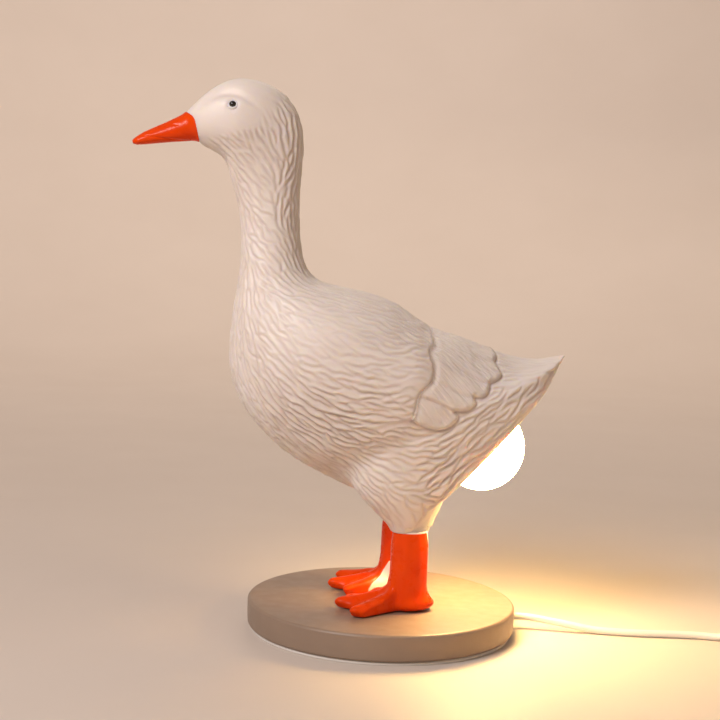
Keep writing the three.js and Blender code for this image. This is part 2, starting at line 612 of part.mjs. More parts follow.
const SWITCH_SPLIT = 5;
const WINDOW = [15, 8.6];
const leadBore = (length, radius) => rod(radius, -length / 2, length / 2, 8).rotateY(Math.PI / 2);
const block = (length, width, low, high) =>
  new THREE.BoxGeometry(length, width, high - low).translate(0, 0, (low + high) / 2);

function switchShell(low, high, hollowLow, hollowHigh, ...tools) {
  const shell = roundedSlab(SWITCH_LENGTH, SWITCH_WIDTH, 4, 0, SWITCH_HEIGHT, 1.6);
  const keep = block(2 * SWITCH_LENGTH, 2 * SWITCH_WIDTH, low, high);
  const half = toGeometry(toSolid(shell).intersect(toSolid(keep)));
  const hollow = block(32, SWITCH_WIDTH - 4, hollowLow, hollowHigh);
  const bore = leadBore(SWITCH_LENGTH + 4, CORD_RADIUS + 2 * GAP).translate(0, 0, SWITCH_CORD_Z);
  return cut(half, hollow, bore, ...tools);
}
const rockerPivot = (radius, halfLength) =>
  rod(radius, -halfLength, halfLength, 10).rotateX(Math.PI / 2).translate(0, 0, ROCKER_PIVOT_Z);
const switchBottom = () => switchShell(-1, SWITCH_SPLIT, 1.6, 8);
const switchTop = () => switchShell(
  SWITCH_SPLIT + GAP, 20, 3, SWITCH_HEIGHT - 1.7,
  block(...WINDOW, 5, 20), rockerPivot(1, 8.2));
const switchPin = () => rockerPivot(0.7, 7.6);

// The rocker's saddle-shaped cap over its pivot pin.
function switchRocker() {
  const outline = new THREE.Shape([
    [-6.2, 8.4], [-4, 6.4], [4, 6.4], [6.2, 8.4], [6.6, 11.2], [5.6, 12.6], [2.6, 11.5], [0, 11],
    [-2.6, 10.6], [-5.6, 10.6], [-6.6, 10.4],
  ].map(([x, z]) => new THREE.Vector2(x, z)));
  const slab = new THREE.ExtrudeGeometry(outline, { depth: WINDOW[1] - 1.2, bevelEnabled: false });
  const rocker = slab.rotateX(Math.PI / 2).translate(0, (WINDOW[1] - 1.2) / 2, 0);
  return cut(rocker, rockerPivot(1, 9));
}

// The plug points along +X in its own frame, with the lead entering at x = 0.
const plugFrame = new THREE.Matrix4().makeTranslation(COIL_SIDE_X, PLUG_Y, PLUG_Z)
  .multiply(new THREE.Matrix4().makeRotationZ(Math.PI / 2));

function plugBody() {
  const grip = roundedSlab(22, 15, 2.5, -4, 4, 1.2).translate(21, 0, 0);
  const boot = turned([[0, 0], [2.9, 0], [3.6, 11], [0, 11]], 12).rotateY(Math.PI / 2);
  const leadSocket = leadBore(26, CORD_RADIUS + 2 * GAP);
  const shellSeat = block(12, 12.7, -2.55, 2.55).translate(29, 0, 0);
  return cut(join(grip, boot), leadSocket, shellSeat);
}

function plugShell() {
  const outside = block(17, 12, -2.25, 2.25).translate(34.5, 0, 0);
  const inside = block(16, 11.2, -1.85, 1.85).translate(35.5, 0, 0);
  return cut(outside, inside);
}
const plugTongue = () => block(14.5, 10.4, -1.5, 0.3).translate(35.3, 0, 0);

// ---- assembly -----------------------------------------------------------------------------------
const lamp = new THREE.Group();
lamp.name = "goose_lamp";

function place(parent, name, geometry, material) {
  const mesh = new THREE.Mesh(closed(geometry), material);
  mesh.name = name;
  parent.add(mesh);
  return mesh;
}
const sides = [["left", -1], ["right", 1]];

place(lamp, "goose_body", gooseBody(), whiteResin);
place(lamp, "bill", bill(), orangeResin);
for (const [name, side] of sides) {
  place(lamp, `eye_${name}`, eyeBall(side, EYE.radius), blackGlass);
  place(lamp, `leg_${name}`, leg(side), orangeResin);
  const stack = new THREE.Group();
  stack.position.set(LEG_X, side * LEG_Y, 0);
  lamp.add(stack);
  place(stack, `leg_tube_${name}`, ring(TUBE_BORE, TUBE_RADIUS, TUBE_BOTTOM, TUBE_TOP, 12), steel);
  place(stack, `leg_insert_${name}`, ring(TUBE_RADIUS + GAP, INSERT_RADIUS, LEG_TOP + 1, 70, 12), brass);
  place(stack, `leg_washer_${name}`, ring(TUBE_RADIUS + GAP, 8, 10.1, BASE_CEILING - GAP, 12), steel);
  place(stack, `leg_nut_${name}`, hexNut(13, TUBE_RADIUS + GAP, 6.9, 9.8), steel);
}

place(lamp, "base_disc", baseDisc(), baseResin);
place(lamp, "bottom_cover", bottomCover(), sheetSteel);
place(lamp, "base_pad", rod(PAD_RADIUS, 0, PAD_THICKNESS, 40), padFoam);
COVER_SCREWS.forEach(([x, y], i) =>
  place(lamp, `cover_screw_${i + 1}`, coverScrew(), steel).position.set(x, y, 0));
place(lamp, "cord_grommet", ring(CORD_RADIUS + GAP, 3.4, 0, 11.6, 12), cordPvc)
  .applyMatrix4(new THREE.Matrix4().makeTranslation(58, 0, CORD_EXIT_Z)
    .multiply(new THREE.Matrix4().makeRotationY(Math.PI / 2)));
place(lamp, "cord_clamp", cordClamp(), blackPlastic);
sides.forEach(([, side], i) =>
  place(lamp, `clamp_screw_${i + 1}`, clampScrew(), steel).position.set(CLAMP_X, side * CLAMP_SCREW_Y, 0));

const socket = new THREE.Group();
socket.applyMatrix4(lampFrame);
lamp.add(socket);
place(socket, "holder_body", holderBody(), holderPlastic);
place(socket, "holder_cap", holderCap(), holderPlastic);
place(socket, "holder_thread", holderThread(), brass);
place(socket, "holder_contact", holderContact(), brass);
place(socket, "terminal_block", terminalBlock(), blackPlastic);
sides.forEach(([, side], i) => {
  place(socket, `terminal_screw_${i + 1}`, terminalScrew(side), steel);
  place(socket, `holder_screw_${i + 1}`, holderScrew(), steel).position.set(0, side * HOLDER_SCREW_Y, 0);
});
place(socket, "bulb_globe", globeShell(), opal);
place(socket, "bulb_housing", lampHousing(), lampPlastic);
place(socket, "bulb_led_board", ledBoard(), boardWhite);
place(socket, "bulb_driver", driverBoard(), boardGreen);
place(socket, "bulb_cap", lampCap(), nickel);
place(socket, "bulb_cap_insulator", capInsulator(), blackGlass);
place(socket, "bulb_contact", lampContact(), brass);

place(lamp, "wire_positive", wire(-1), wireBrown);
place(lamp, "wire_negative", wire(1), wireBlue);

place(lamp, "cord_lead", cable(LEAD_OUT, CORD_RADIUS, 24), cordPvc);
place(lamp, "cord_link", cable(LEAD_TO_COIL, CORD_RADIUS, 12), cordPvc);
place(lamp, "cord_coil", coilSolid(), cordPvc);
place(lamp, "cord_end", cable(LEAD_TO_PLUG, CORD_RADIUS, 6), cordPvc);
place(lamp, "coil_tie", coilTie(), blackPlastic);

const inlineSwitch = new THREE.Group();
inlineSwitch.position.set(...SWITCH_CENTRE, 0);
inlineSwitch.rotation.z = SWITCH_TURN;
lamp.add(inlineSwitch);
place(inlineSwitch, "switch_bottom", switchBottom(), cordPvc);
place(inlineSwitch, "switch_top", switchTop(), cordPvc);
place(inlineSwitch, "switch_pin", switchPin(), steel);
place(inlineSwitch, "switch_rocker", switchRocker(), cordPvc);

const plug = new THREE.Group();
plug.applyMatrix4(plugFrame);
lamp.add(plug);
place(plug, "plug_body", plugBody(), cordPvc);
place(plug, "plug_shell", plugShell(), nickel);
place(plug, "plug_tongue", plugTongue(), holderPlastic);

export default lamp;
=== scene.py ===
import json
from math import cos, pi, radians, sin

import bmesh
import bpy
import numpy as np
from mathutils import Matrix, Vector


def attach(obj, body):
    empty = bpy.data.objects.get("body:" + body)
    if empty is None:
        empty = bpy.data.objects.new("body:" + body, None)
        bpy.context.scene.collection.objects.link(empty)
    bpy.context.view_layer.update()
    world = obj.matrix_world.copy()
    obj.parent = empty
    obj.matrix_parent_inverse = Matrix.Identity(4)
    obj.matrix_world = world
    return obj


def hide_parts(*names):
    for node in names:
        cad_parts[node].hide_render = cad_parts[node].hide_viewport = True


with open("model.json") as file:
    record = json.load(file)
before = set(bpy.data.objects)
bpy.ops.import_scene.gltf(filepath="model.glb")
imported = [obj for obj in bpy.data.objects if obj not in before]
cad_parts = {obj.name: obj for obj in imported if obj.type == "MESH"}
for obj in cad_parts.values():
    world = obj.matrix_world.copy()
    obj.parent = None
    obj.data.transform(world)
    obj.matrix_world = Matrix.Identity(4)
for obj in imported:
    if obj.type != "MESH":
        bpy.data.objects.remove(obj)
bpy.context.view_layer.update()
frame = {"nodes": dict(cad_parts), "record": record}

NODES = frame["nodes"]
MM = 0.001
LEFT, RIGHT = -1, 1
# Sizes in millimetres that the CAD part and this script share.
BASE_TOP = 15.5
LEG_X, LEG_Y = 11.0, 19.5
THIGH_BOTTOM = 56.3
GLOBE_RADIUS, GLOBE_WALL, GLOBE_NECK = 22.5, 1.2, 15.5


# ---- camera -----------------------------------------------------------------------------------
def add_camera():
    """The photograph's viewpoint, level with the goose's neck and looking a little down."""
    place = Vector((-0.11487, -0.86496, 0.24545))
    turn, down, lean = radians(-6.5), radians(6.81), radians(2.373)
    right = Vector((cos(turn), sin(turn), 0))
    ahead = Vector((-sin(turn), cos(turn), 0))
    up = Vector((0, 0, 1))
    forward = ahead * cos(down) - up * sin(down)
    above = up * cos(down) + ahead * sin(down)
    across = right * cos(lean) + above * sin(lean)
    above = above * cos(lean) - right * sin(lean)
    camera = bpy.data.objects.new("camera", bpy.data.cameras.new("camera"))
    camera.data.lens = 85
    camera.data.sensor_width = 36
    camera.data.clip_start = 0.01
    turned = Matrix((across, above, -forward)).transposed().to_4x4()
    camera.matrix_world = Matrix.Translation(place) @ turned
    bpy.context.scene.collection.objects.link(camera)
    bpy.context.scene.camera = camera


add_camera()


# ---- materials --------------------------------------------------------------------------------
class Paint:
    """A Principled material and short ways to wire its nodes. Lengths are in millimetres."""

    def __init__(self, name):
        self.material = bpy.data.materials.new(name)
        self.material.use_nodes = True
        self.tree = self.material.node_tree
        self.shader = self.tree.nodes["Principled BSDF"]
        self.place = self.tree.nodes.new("ShaderNodeTexCoord").outputs["Object"]

    def node(self, kind, **inputs):
        made = self.tree.nodes.new(kind)
        for name, value in inputs.items():
            self.feed(made.inputs[name.replace("_", " ")], value)
        return made

    def feed(self, socket, value):
        if isinstance(value, bpy.types.NodeSocket):
            self.tree.links.new(value, socket)
        else:
            socket.default_value = value

    def stretched(self, turn, scale):
        """Object coordinates drawn out by the scale along each turned axis."""
        made = self.node("ShaderNodeMapping", Vector=self.place)
        made.vector_type = "TEXTURE"
        made.inputs["Rotation"].default_value = turn
        made.inputs["Scale"].default_value = scale
        return made.outputs["Vector"]

    def noise(self, size, detail=3.0, place=None):
        made = self.node("ShaderNodeTexNoise", Vector=place or self.place)
        made.inputs["Scale"].default_value = 1 / (size * MM)
        made.inputs["Detail"].default_value = detail
        return made.outputs["Fac"]

    def between(self, factor, low, high, start=0.3, end=0.7):
        """From low to high while the factor goes from start to end."""
        made = self.node("ShaderNodeMapRange", Value=factor)
        limits = {"From Min": start, "From Max": end, "To Min": low, "To Max": high}
        for name, value in limits.items():
            made.inputs[name].default_value = value
        return made.outputs["Result"]

    def mix(self, factor, first, second):
        made = self.tree.nodes.new("ShaderNodeMix")
        made.data_type = "RGBA"
        for number, value in {0: factor, 6: first, 7: second}.items():
            self.feed(made.inputs[number], value)
        return made.outputs[2]

    def mottled(self, size, light, dark, detail=3.0):
        """Soft patches of two colours, each about the size across."""
        return self.mix(self.between(self.noise(size, detail), 0.0, 1.0), light, dark)

    def times(self, first, second):
        made = self.tree.nodes.new("ShaderNodeMath")
        made.operation = "MULTIPLY"
        self.feed(made.inputs[0], first)
        self.feed(made.inputs[1], second)
        return made.outputs[0]

    def attribute(self, name):
        made = self.tree.nodes.new("ShaderNodeAttribute")
        made.attribute_name = name
        return made.outputs["Fac"]

    def bump(self, height, depth, under=None):
        made = self.node("ShaderNodeBump", Height=height, Distance=depth * MM)
        if under:
            self.feed(made.inputs["Normal"], under)
        self.feed(self.shader.inputs["Normal"], made.outputs["Normal"])
        return made.outputs["Normal"]

    def set(self, **values):
        for name, value in values.items():
            self.feed(self.shader.inputs[name.replace("_", " ")], value)


def rgb(r, g, b):
    return (r, g, b, 1.0)


def moulded(name, light, dark, rough, grain=0.9, depth=0.03, patch=14.0, metal=0.0):
    """A moulded, painted or cast surface: mottled colour, uneven gloss and a fine grain."""
    paint = Paint(name)
    paint.set(Base_Color=paint.mottled(patch, light, dark))
    paint.set(Roughness=paint.between(paint.noise(patch / 3), rough - 0.05, rough + 0.06))
    paint.set(Metallic=metal)
    paint.bump(paint.noise(grain, 4.0), depth)
    return paint


ORANGE_LIGHT, ORANGE_DARK = rgb(0.79, 0.062, 0.001), rgb(0.72, 0.046, 0.001)


def white_resin():
    """Satin cream-white paint over the cast feathers, with painted shade darkening the colour in the
    cuts.
    """
    paint = Paint("white_resin")
    barbs = paint.noise(1.9, 1.0, paint.stretched((0, radians(50), 0), (12.0, 1.0, 1.0)))
    masked = paint.times(barbs, paint.attribute("barbs"))
    tone = paint.mottled(22, rgb(0.81, 0.74, 0.69), rgb(0.77, 0.69, 0.635))
    tone = paint.mix(paint.between(masked, 0.0, 0.3, 0.5, 0.8), tone, rgb(0.64, 0.53, 0.46))
    # Painted shade: the hollow mask darkens the cream-white towards brown in the feather cuts, the
    # wing's ditches and folds, and over the eyes.
    cuts = paint.between(paint.attribute("hollow"), 0.0, 0.8, 0.0, 1.0)
    cut_shade = paint.mix(cuts, tone, rgb(0.45, 0.31, 0.25))
    seam = paint.between(paint.attribute("painted"), 0.0, 1.0, -0.12, 0.12)
    orange = paint.mottled(14, ORANGE_LIGHT, ORANGE_DARK, 1.0)
    paint.set(Base_Color=paint.mix(seam, cut_shade, orange))
    paint.set(Roughness=paint.between(paint.noise(5), 0.40, 0.52))
    paint.set(Specular_IOR_Level=0.45, Coat_Weight=0.1, Coat_Roughness=0.3)
    paint.set(Subsurface_Weight=0.38, Subsurface_Radius=(1.0, 0.72, 0.25), Subsurface_Scale=5.5 * MM)
    fine = paint.bump(masked, 0.9)
    paint.bump(paint.noise(1.6, 4.0), 0.10, under=fine)
    return paint.material


def orange_resin():
    """Thick glossy orange-red paint with faint brush marks, and bare resin where it was left off."""
    paint = Paint("orange_resin")
    orange = paint.mottled(14, ORANGE_LIGHT, ORANGE_DARK, 1.0)
    bare = paint.between(paint.attribute("bare"), 0.0, 1.0, 0.85, 1.15)
    paint.set(Base_Color=paint.mix(bare, orange, rgb(0.80, 0.72, 0.66)))
    paint.set(Roughness=paint.between(paint.noise(4), 0.24, 0.36), IOR=1.16)
    paint.set(Coat_Weight=0.15, Coat_Roughness=0.16)
    brushed = paint.noise(2.4, 3.0, paint.stretched((0, 0, 0), (1.0, 1.0, 4.5)))
    fine = paint.bump(brushed, 0.16)
    paint.bump(paint.noise(0.8, 3.0), 0.02, under=fine)
    return paint.material


def base_resin():
    """Greige eggshell paint on the base."""
    paint = Paint("base_resin")
    tone = paint.mottled(30, rgb(0.285, 0.205, 0.15), rgb(0.26, 0.185, 0.135))
    speck = paint.between(paint.noise(0.7, 5.0), 0.0, 0.3, 0.66, 0.75)
    paint.set(Base_Color=paint.mix(speck, tone, rgb(0.17, 0.12, 0.09)))
    paint.set(Roughness=paint.between(paint.noise(7), 0.36, 0.46), Specular_IOR_Level=0.5)
    fine = paint.bump(paint.noise(9), 0.12)
    paint.bump(paint.noise(0.6, 4.0), 0.03, under=fine)
    return paint.material


def lit_opal():
    """The lit globe: opal plastic that glows warm white."""
    paint = Paint("bulb_opal")
    paint.set(Base_Color=paint.mottled(12, rgb(0.93, 0.90, 0.84), rgb(0.90, 0.86, 0.79)))
    paint.set(Roughness=paint.between(paint.noise(3), 0.28, 0.36))
    glow = paint.mottled(18, rgb(1.0, 0.66, 0.25), rgb(1.0, 0.64, 0.23), 1.0)
    paint.set(Emission_Color=glow, Emission_Strength=GLOW)
    paint.bump(paint.noise(0.5, 3.0), 0.01)
    return paint.material


def eye_glass():
    """Black glass with a soft polish."""
    paint = Paint("eye_black")
    paint.set(Base_Color=paint.mottled(0.8, rgb(0.006, 0.005, 0.005), rgb(0.012, 0.008, 0.006)))
    paint.set(Roughness=paint.between(paint.noise(0.6), 0.04, 0.09))
    paint.set(Coat_Weight=0.3, Coat_Roughness=0.03)
    paint.bump(paint.noise(0.5), 0.004)
    return paint.material


def turned_metal(name, light, dark, rough):
    """Metal with fine tool marks and a few duller patches."""
    paint = Paint(name)
    paint.set(Base_Color=paint.mottled(5, light, dark), Metallic=1.0)
    marks = paint.noise(0.5, 2.0, paint.stretched((0, 0, 0), (3.3, 3.3, 0.33)))
    paint.set(Roughness=paint.between(marks, rough - 0.06, rough + 0.1))
    paint.bump(marks, 0.012)
    return paint.material


def cord_pvc():
    """The lead's soft white sheath."""
    paint = moulded("cord_pvc", rgb(0.84, 0.82, 0.78), rgb(0.79, 0.76, 0.71), 0.36,
                    grain=1.6, depth=0.025, patch=40)
    paint.set(Specular_IOR_Level=0.5)
    return paint.material


GLOW = 76.0
MATERIALS = {
    "white_resin": white_resin(),
    "orange_resin": orange_resin(),
    "base_resin": base_resin(),
    "bulb_opal": lit_opal(),
    "eye_black": eye_glass(),
    "cord_pvc": cord_pvc(),
    "steel": turned_metal("steel", rgb(0.56, 0.56, 0.55), rgb(0.48, 0.48, 0.47), 0.3),
    "brass": turned_metal("brass", rgb(0.62, 0.42, 0.14), rgb(0.52, 0.34, 0.10), 0.28),
    "nickel": turned_metal("nickel", rgb(0.66, 0.64, 0.60), rgb(0.58, 0.56, 0.52), 0.22),
}
# The rest are moulded: slot, light and dark colour, roughness and what differs from the usual.
for SLOT, LIGHT, DARK, ROUGH, REST in (
    ("cover_steel", rgb(0.34, 0.34, 0.33), rgb(0.29, 0.29, 0.28), 0.4, {"metal": 0.9}),
    ("pad_foam", rgb(0.74, 0.71, 0.67), rgb(0.68, 0.65, 0.61), 0.88, {"grain": 0.5, "depth": 0.12}),
    ("black_plastic", rgb(0.014, 0.014, 0.015), rgb(0.024, 0.023, 0.022), 0.42, {}),
    ("switch_plastic", rgb(0.83, 0.81, 0.77), rgb(0.79, 0.77, 0.72), 0.38,
     {"grain": 0.35, "depth": 0.04}),
    ("holder_plastic", rgb(0.80, 0.79, 0.75), rgb(0.75, 0.73, 0.69), 0.35, {}),
    ("bulb_plastic", rgb(0.86, 0.84, 0.80), rgb(0.82, 0.80, 0.76), 0.33, {}),
    ("bulb_glass_black", rgb(0.01, 0.01, 0.01), rgb(0.02, 0.018, 0.016), 0.12, {}),
    ("board_white", rgb(0.74, 0.76, 0.74), rgb(0.68, 0.70, 0.68), 0.4, {"grain": 0.4}),
    ("board_green", rgb(0.03, 0.16, 0.05), rgb(0.02, 0.11, 0.04), 0.35, {"grain": 0.4}),
    ("wire_brown", rgb(0.16, 0.05, 0.018), rgb(0.12, 0.038, 0.014), 0.4, {}),
    ("wire_blue", rgb(0.02, 0.08, 0.33), rgb(0.015, 0.06, 0.26), 0.4, {}),
):
    MATERIALS[SLOT] = moulded(SLOT, LIGHT, DARK, ROUGH, **REST).material

NODE_SLOTS = {part["node"]: part["material_slot"] for part in frame["record"]["subparts"]}


def finish_nodes():
    """Every CAD node that stays in view gets its slot's material."""
    for name, obj in NODES.items():
        obj.data.materials.clear()
        obj.data.materials.append(MATERIALS[NODE_SLOTS[name]])


# ---- making pieces ----------------------------------------------------------------------------
def add_piece(name, mesh, slot, body="lamp", replaced=()):
    """A visible piece of a mesh or curve, on its body and in place of the CAD nodes it replaces."""
    piece = bpy.data.objects.new(name, mesh)
    bpy.context.scene.collection.objects.link(piece)
    if hasattr(mesh, "polygons"):
        mesh.polygons.foreach_set("use_smooth", np.ones(len(mesh.polygons), bool))
    mesh.materials.append(MATERIALS[slot])
    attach(piece, body)
    if replaced:
        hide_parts(*replaced)
    return piece


def new_mesh(name, points, faces):
    """A mesh from points in metres and lists of their numbers."""
    mesh = bpy.data.meshes.new(name)
    mesh.from_pydata([tuple(p) for p in points], [], faces)
    mesh.validate()
    mesh.update()
    return mesh


def revolved(name, profile, turn=Matrix.Identity(4), count=96):
    """A mesh turned about Z from [radius, z] points in millimetres, closed where they meet Z."""
    points, faces, rings = [], [], []
    for radius, z in profile:
        if radius < 1e-6:
            rings.append([len(points)] * count)
            points.append((0, 0, z))
            continue
        rings.append(list(range(len(points), len(points) + count)))
        points += [(radius * cos(angle), radius * sin(angle), z)
                   for angle in (2 * pi * i / count for i in range(count))]
    for low, high in zip(rings, rings[1:]):
        for i in range(count):
            j = (i + 1) % count
            faces.append(list(dict.fromkeys((low[i], low[j], high[j], high[i]))))
    moved = [turn @ (Vector(p) * MM) for p in points]
    return new_mesh(name, moved, [f for f in faces if len(f) > 2])


def rounded_profile(corners, radius, steps=5):
    """[radius, z] corners with each inner corner rounded off."""
    out = [corners[0]]
    for before, corner, after in zip(corners, corners[1:], corners[2:]):
        before, corner, after = map(np.array, (before, corner, after))
        back, on = before - corner, after - corner
        reach = min(radius, np.linalg.norm(back) * 0.45, np.linalg.norm(on) * 0.45)
        start = corner + back / np.linalg.norm(back) * reach
        end = corner + on / np.linalg.norm(on) * reach
        for k in range(steps + 1):
            t = k / steps
            out.append(tuple((1 - t) ** 2 * start + 2 * t * (1 - t) * corner + t * t * end))
    out.append(corners[-1])
    return out


# The size of the faces on each moulded piece, in millimetres.
BODY_VOXEL, BODY_VOXEL_QUICK, BILL_VOXEL, LEG_VOXEL = 0.6, 0.9, 0.35, 0.45


def voxel_skin(mesh, voxel):
    """The surface of a closed mesh as small even faces."""
    source = bpy.data.objects.new("source", mesh)
    bpy.context.scene.collection.objects.link(source)
    remesh = source.modifiers.new("even", "REMESH")
    remesh.mode = "VOXEL"
    remesh.voxel_size = voxel * MM
    bpy.context.view_layer.update()
    evaluated = source.evaluated_get(bpy.context.evaluated_depsgraph_get())
    made = bpy.data.meshes.new_from_object(evaluated)
    bpy.data.objects.remove(source)
    made.materials.clear()
    return made


def read_points(mesh):
    """The mesh's vertices in millimetres."""
    points = np.zeros(len(mesh.vertices) * 3)
    mesh.vertices.foreach_get("co", points)
    return points.reshape(-1, 3) / MM


def write_points(mesh, points):
    """Moves the mesh's vertices to points in millimetres."""
    mesh.vertices.foreach_set("co", (points * MM).ravel())
    mesh.update()


def read_normals(mesh):
    """The outward direction at each vertex."""
    normals = np.zeros(len(mesh.vertices) * 3)
    mesh.vertex_normals.foreach_get("vector", normals)
    return normals.reshape(-1, 3)


def relaxed(mesh, points, rounds, weight=1.0):
    """Points drawn towards their neighbours' mean, each by its weight."""
    edges = np.zeros(len(mesh.edges) * 2, int)
    mesh.edges.foreach_get("vertices", edges)
    a, b = edges.reshape(-1, 2).T
    count = len(points)
    share = np.bincount(a, minlength=count) + np.bincount(b, minlength=count)
    pull = 0.5 * np.broadcast_to(weight, (count,))[:, None]
    for _ in range(rounds):
        mean = np.stack([np.bincount(a, points[b, k], count) + np.bincount(b, points[a, k], count)
                         for k in range(3)], 1) / share[:, None]
        points = points + pull * (mean - points)
    return points


def store(mesh, name, values):
    """A number at each vertex that the materials read by name."""
    layer = mesh.attributes.new(name, "FLOAT", "POINT")
    layer.data.foreach_set("value", np.ascontiguousarray(values, np.float32))


def smooth_step(low, high, value):
    """0 at low and 1 at high with no corner; low may be above high."""
    t = np.clip((value - low) / (high - low), 0, 1)
    return t * t * (3 - 2 * t)


def catmull(points, steps):
    """A smooth line through the points, with steps between each pair."""
    points = np.array(points, float)
    ends = np.vstack([points[:1], points, points[-1:]])
    out = []
    for a, b, c, d in zip(ends, ends[1:], ends[2:], ends[3:]):
        for t in (k / steps for k in range(steps)):
            turn = 2 * a - 5 * b + 4 * c - d + t * (3 * (b - c) + d - a)
            out.append(b + 0.5 * t * (c - a + t * turn))
    return np.array([*out, points[-1]])


def nearest_on(line, spots):
    """Each spot's distance to a line of 2-D points, and the nearest place along it from 0 to 1."""
    best = np.full(len(spots), 1e9)
    where = np.zeros(len(spots))
    for i, (a, b) in enumerate(zip(line, line[1:])):
        run = b - a
        t = np.clip(((spots - a) @ run) / max(run @ run, 1e-9), 0, 1)
        gap = np.linalg.norm(spots - a - t[:, None] * run, axis=1)
        closer = gap < best
        best[closer] = gap[closer]
        where[closer] = (i + t[closer]) / (len(line) - 1)
    return best, where


def inside(outline, spots):
    """True for each 2-D spot inside the closed outline."""
    hit = np.zeros(len(spots), bool)
    for a, b in zip(outline, np.roll(outline, -1, 0)):
        crosses = (a[1] > spots[:, 1]) != (b[1] > spots[:, 1])
        rise = b[1] - a[1] if abs(b[1] - a[1]) > 1e-9 else 1e-9
        hit ^= crosses & (spots[:, 0] < a[0] + (spots[:, 1] - a[1]) * (b[0] - a[0]) / rise)
    return hit


# ---- the lead: one cord from the base through the switch to its coil and plug -------------------
# Millimetres, as in the CAD. The coil has two layers of COIL_TURNS turns, inwards and out again.
CORD_RADIUS = 1.9
SWITCH_CENTRE, SWITCH_TURN = (216.0, -33.0), radians(-16)
COIL_CENTRE = (242.0, 8.0)
COIL_OUTER, COIL_INNER = 30.6, 15.0
COIL_TURNS = 4
COIL_LOW, COIL_HIGH = 2.9, 6.8
COIL_POINTS = 24


def switch_point(along, z):
    """A place on the switch's own line, measured from its centre."""
    x, y = SWITCH_CENTRE
    return (x + along * cos(SWITCH_TURN), y + along * sin(SWITCH_TURN), z)


def lead_route():
    """The lead's centreline in millimetres."""
    out = [
        (70, 0, 7), (77, -0.3, 6.9), (84, -1.8, 6.3), (91, -3.7, 5.4), (99, -5.6, 4.3),
        (107, -7.2, 3.1), (114, -8.5, 2.2), (122, -10.2, 1.95), (132, -12.2, 1.95),
        (144, -13.8, 1.95), (157, -14.7, 1.95), (168, -16.2, 1.95), (177, -19.5, 2.2),
        (184, -22.8, 3.4),
        switch_point(-27.5, 4.7), switch_point(-20, 5), switch_point(0, 5), switch_point(20, 5),
        switch_point(27.5, 4.7), (250, -42, 3), (259, -41, 2.1), (266.5, -36.5, 2), (271, -29.5, 2),
        (272, -21, 2.2), (272.6, -11.5, 2.7),
    ]
    x, y = COIL_CENTRE
    steps = COIL_TURNS * COIL_POINTS
    for k in range(2 * steps + 1):
        done = k / steps
        radius = COIL_OUTER + (COIL_INNER - COIL_OUTER) * min(done, 2 - done)
        angle = 2 * pi * COIL_TURNS * done
        climb = min(max(2 * COIL_TURNS * (done - 1), 0), 1)
        z = COIL_LOW + (COIL_HIGH - COIL_LOW) * climb
        out.append((x + radius * cos(angle), y + radius * sin(angle), z))
    out += [(272.6, 17, 5.9), (272.6, 26.6, 4.6), (272.6, 33, 3.3), (272.6, 40, 3.6),
            (272.6, 50, 4.2), (272.6, 58, 4.2)]
    return out


def add_lead():
    """The whole lead as one spline, with its length in metres."""
    curve = bpy.data.curves.new("lead", "CURVE")
    curve.dimensions = "3D"
    curve.bevel_depth = CORD_RADIUS * MM
    curve.bevel_resolution = 5
    curve.resolution_u = 6
    curve.use_fill_caps = True
    route = lead_route()
    spline = curve.splines.new("BEZIER")
    spline.bezier_points.add(len(route) - 1)
    for point, spot in zip(spline.bezier_points, route):
        point.co = Vector(spot) * MM
        point.handle_left_type = point.handle_right_type = "AUTO"
    length = sum((Vector(b) - Vector(a)).length for a, b in zip(route, route[1:])) * MM
    lead = add_piece("lead", curve, "cord_pvc",
                     replaced=("cord_lead", "cord_link", "cord_coil", "cord_end"))
    return lead, length


LEAD, LEAD_LENGTH = add_lead()

# ---- the goose --------------------------------------------------------------------------------
# The lit globe's centre, the lamp's axis out of the recess, where on that axis the goose's flat rear
# is, and how closely a face has to look along the axis to belong to it. EYE is the right eye; the
# left one mirrors it.
GLOBE = np.array((49.3, 0.0, 97.5))
LAMP_TILT = radians(132)
LAMP_AXIS = np.array((sin(LAMP_TILT), 0.0, cos(LAMP_TILT)))
LAMP_FRAME = Matrix.Translation(Vector(GLOBE * MM)) @ Matrix.Rotation(LAMP_TILT, 4, "Y")
REAR_PLANE = -2.3
FLAT_REAR = 0.93
EYE = np.array((-86.4, 15.4, 268.6))

# The rear edge of the wing's shoulder mass from the back down and forward: (x, z, height).
COVERT_EDGE = [
    (19, 186, 0.0), (19, 166, 0.0), (18.9, 161, 0.7), (17.6, 157.5, 1.5), (17.5, 153.6, 2.3),
    (14.4, 150.6, 2.5), (15.9, 143.3, 2.8), (14.6, 136.7, 2.7), (9.4, 131.9, 2.4), (7.6, 126.9, 2.5),
    (6.0, 118.9, 2.2), (0.6, 117, 1.5), (-5.2, 115.5, 1.0), (-14.8, 112.1, 0.4), (-24.5, 109, 0.0),
]
# The two corners that close each outline at the front.
COVERT_SIDE = [(-70, 100), (-70, 190)]
# The scalloped edge of the long wing feathers.
FEATHER_EDGE = [
    (53.4, 186), (53, 154), (53, 148.2), (52.1, 146.2), (50.9, 144.6), (52.0, 141.6), (52.9, 138.7),
    (50.4, 136.7), (46.6, 135.3), (45.7, 133.3), (44.7, 131.0), (42.5, 129.1), (39.8, 128.6),
    (37.6, 128.9), (38.3, 125.8), (35.1, 123.1), (30.7, 121.7), (27.9, 122.1), (29.5, 118.8),
    (26.8, 115.3), (21.2, 112.7), (13.1, 113.6), (6.5, 116.8),
]
FEATHER_SIDE = [(2, 124), (0, 186)]
# How far the long feathers stand out, and the part of the body the wings can lie on: x, then z.
FEATHER_RISE = 1.45
WING_X, WING_Z = (-75, 62), (96, 190)
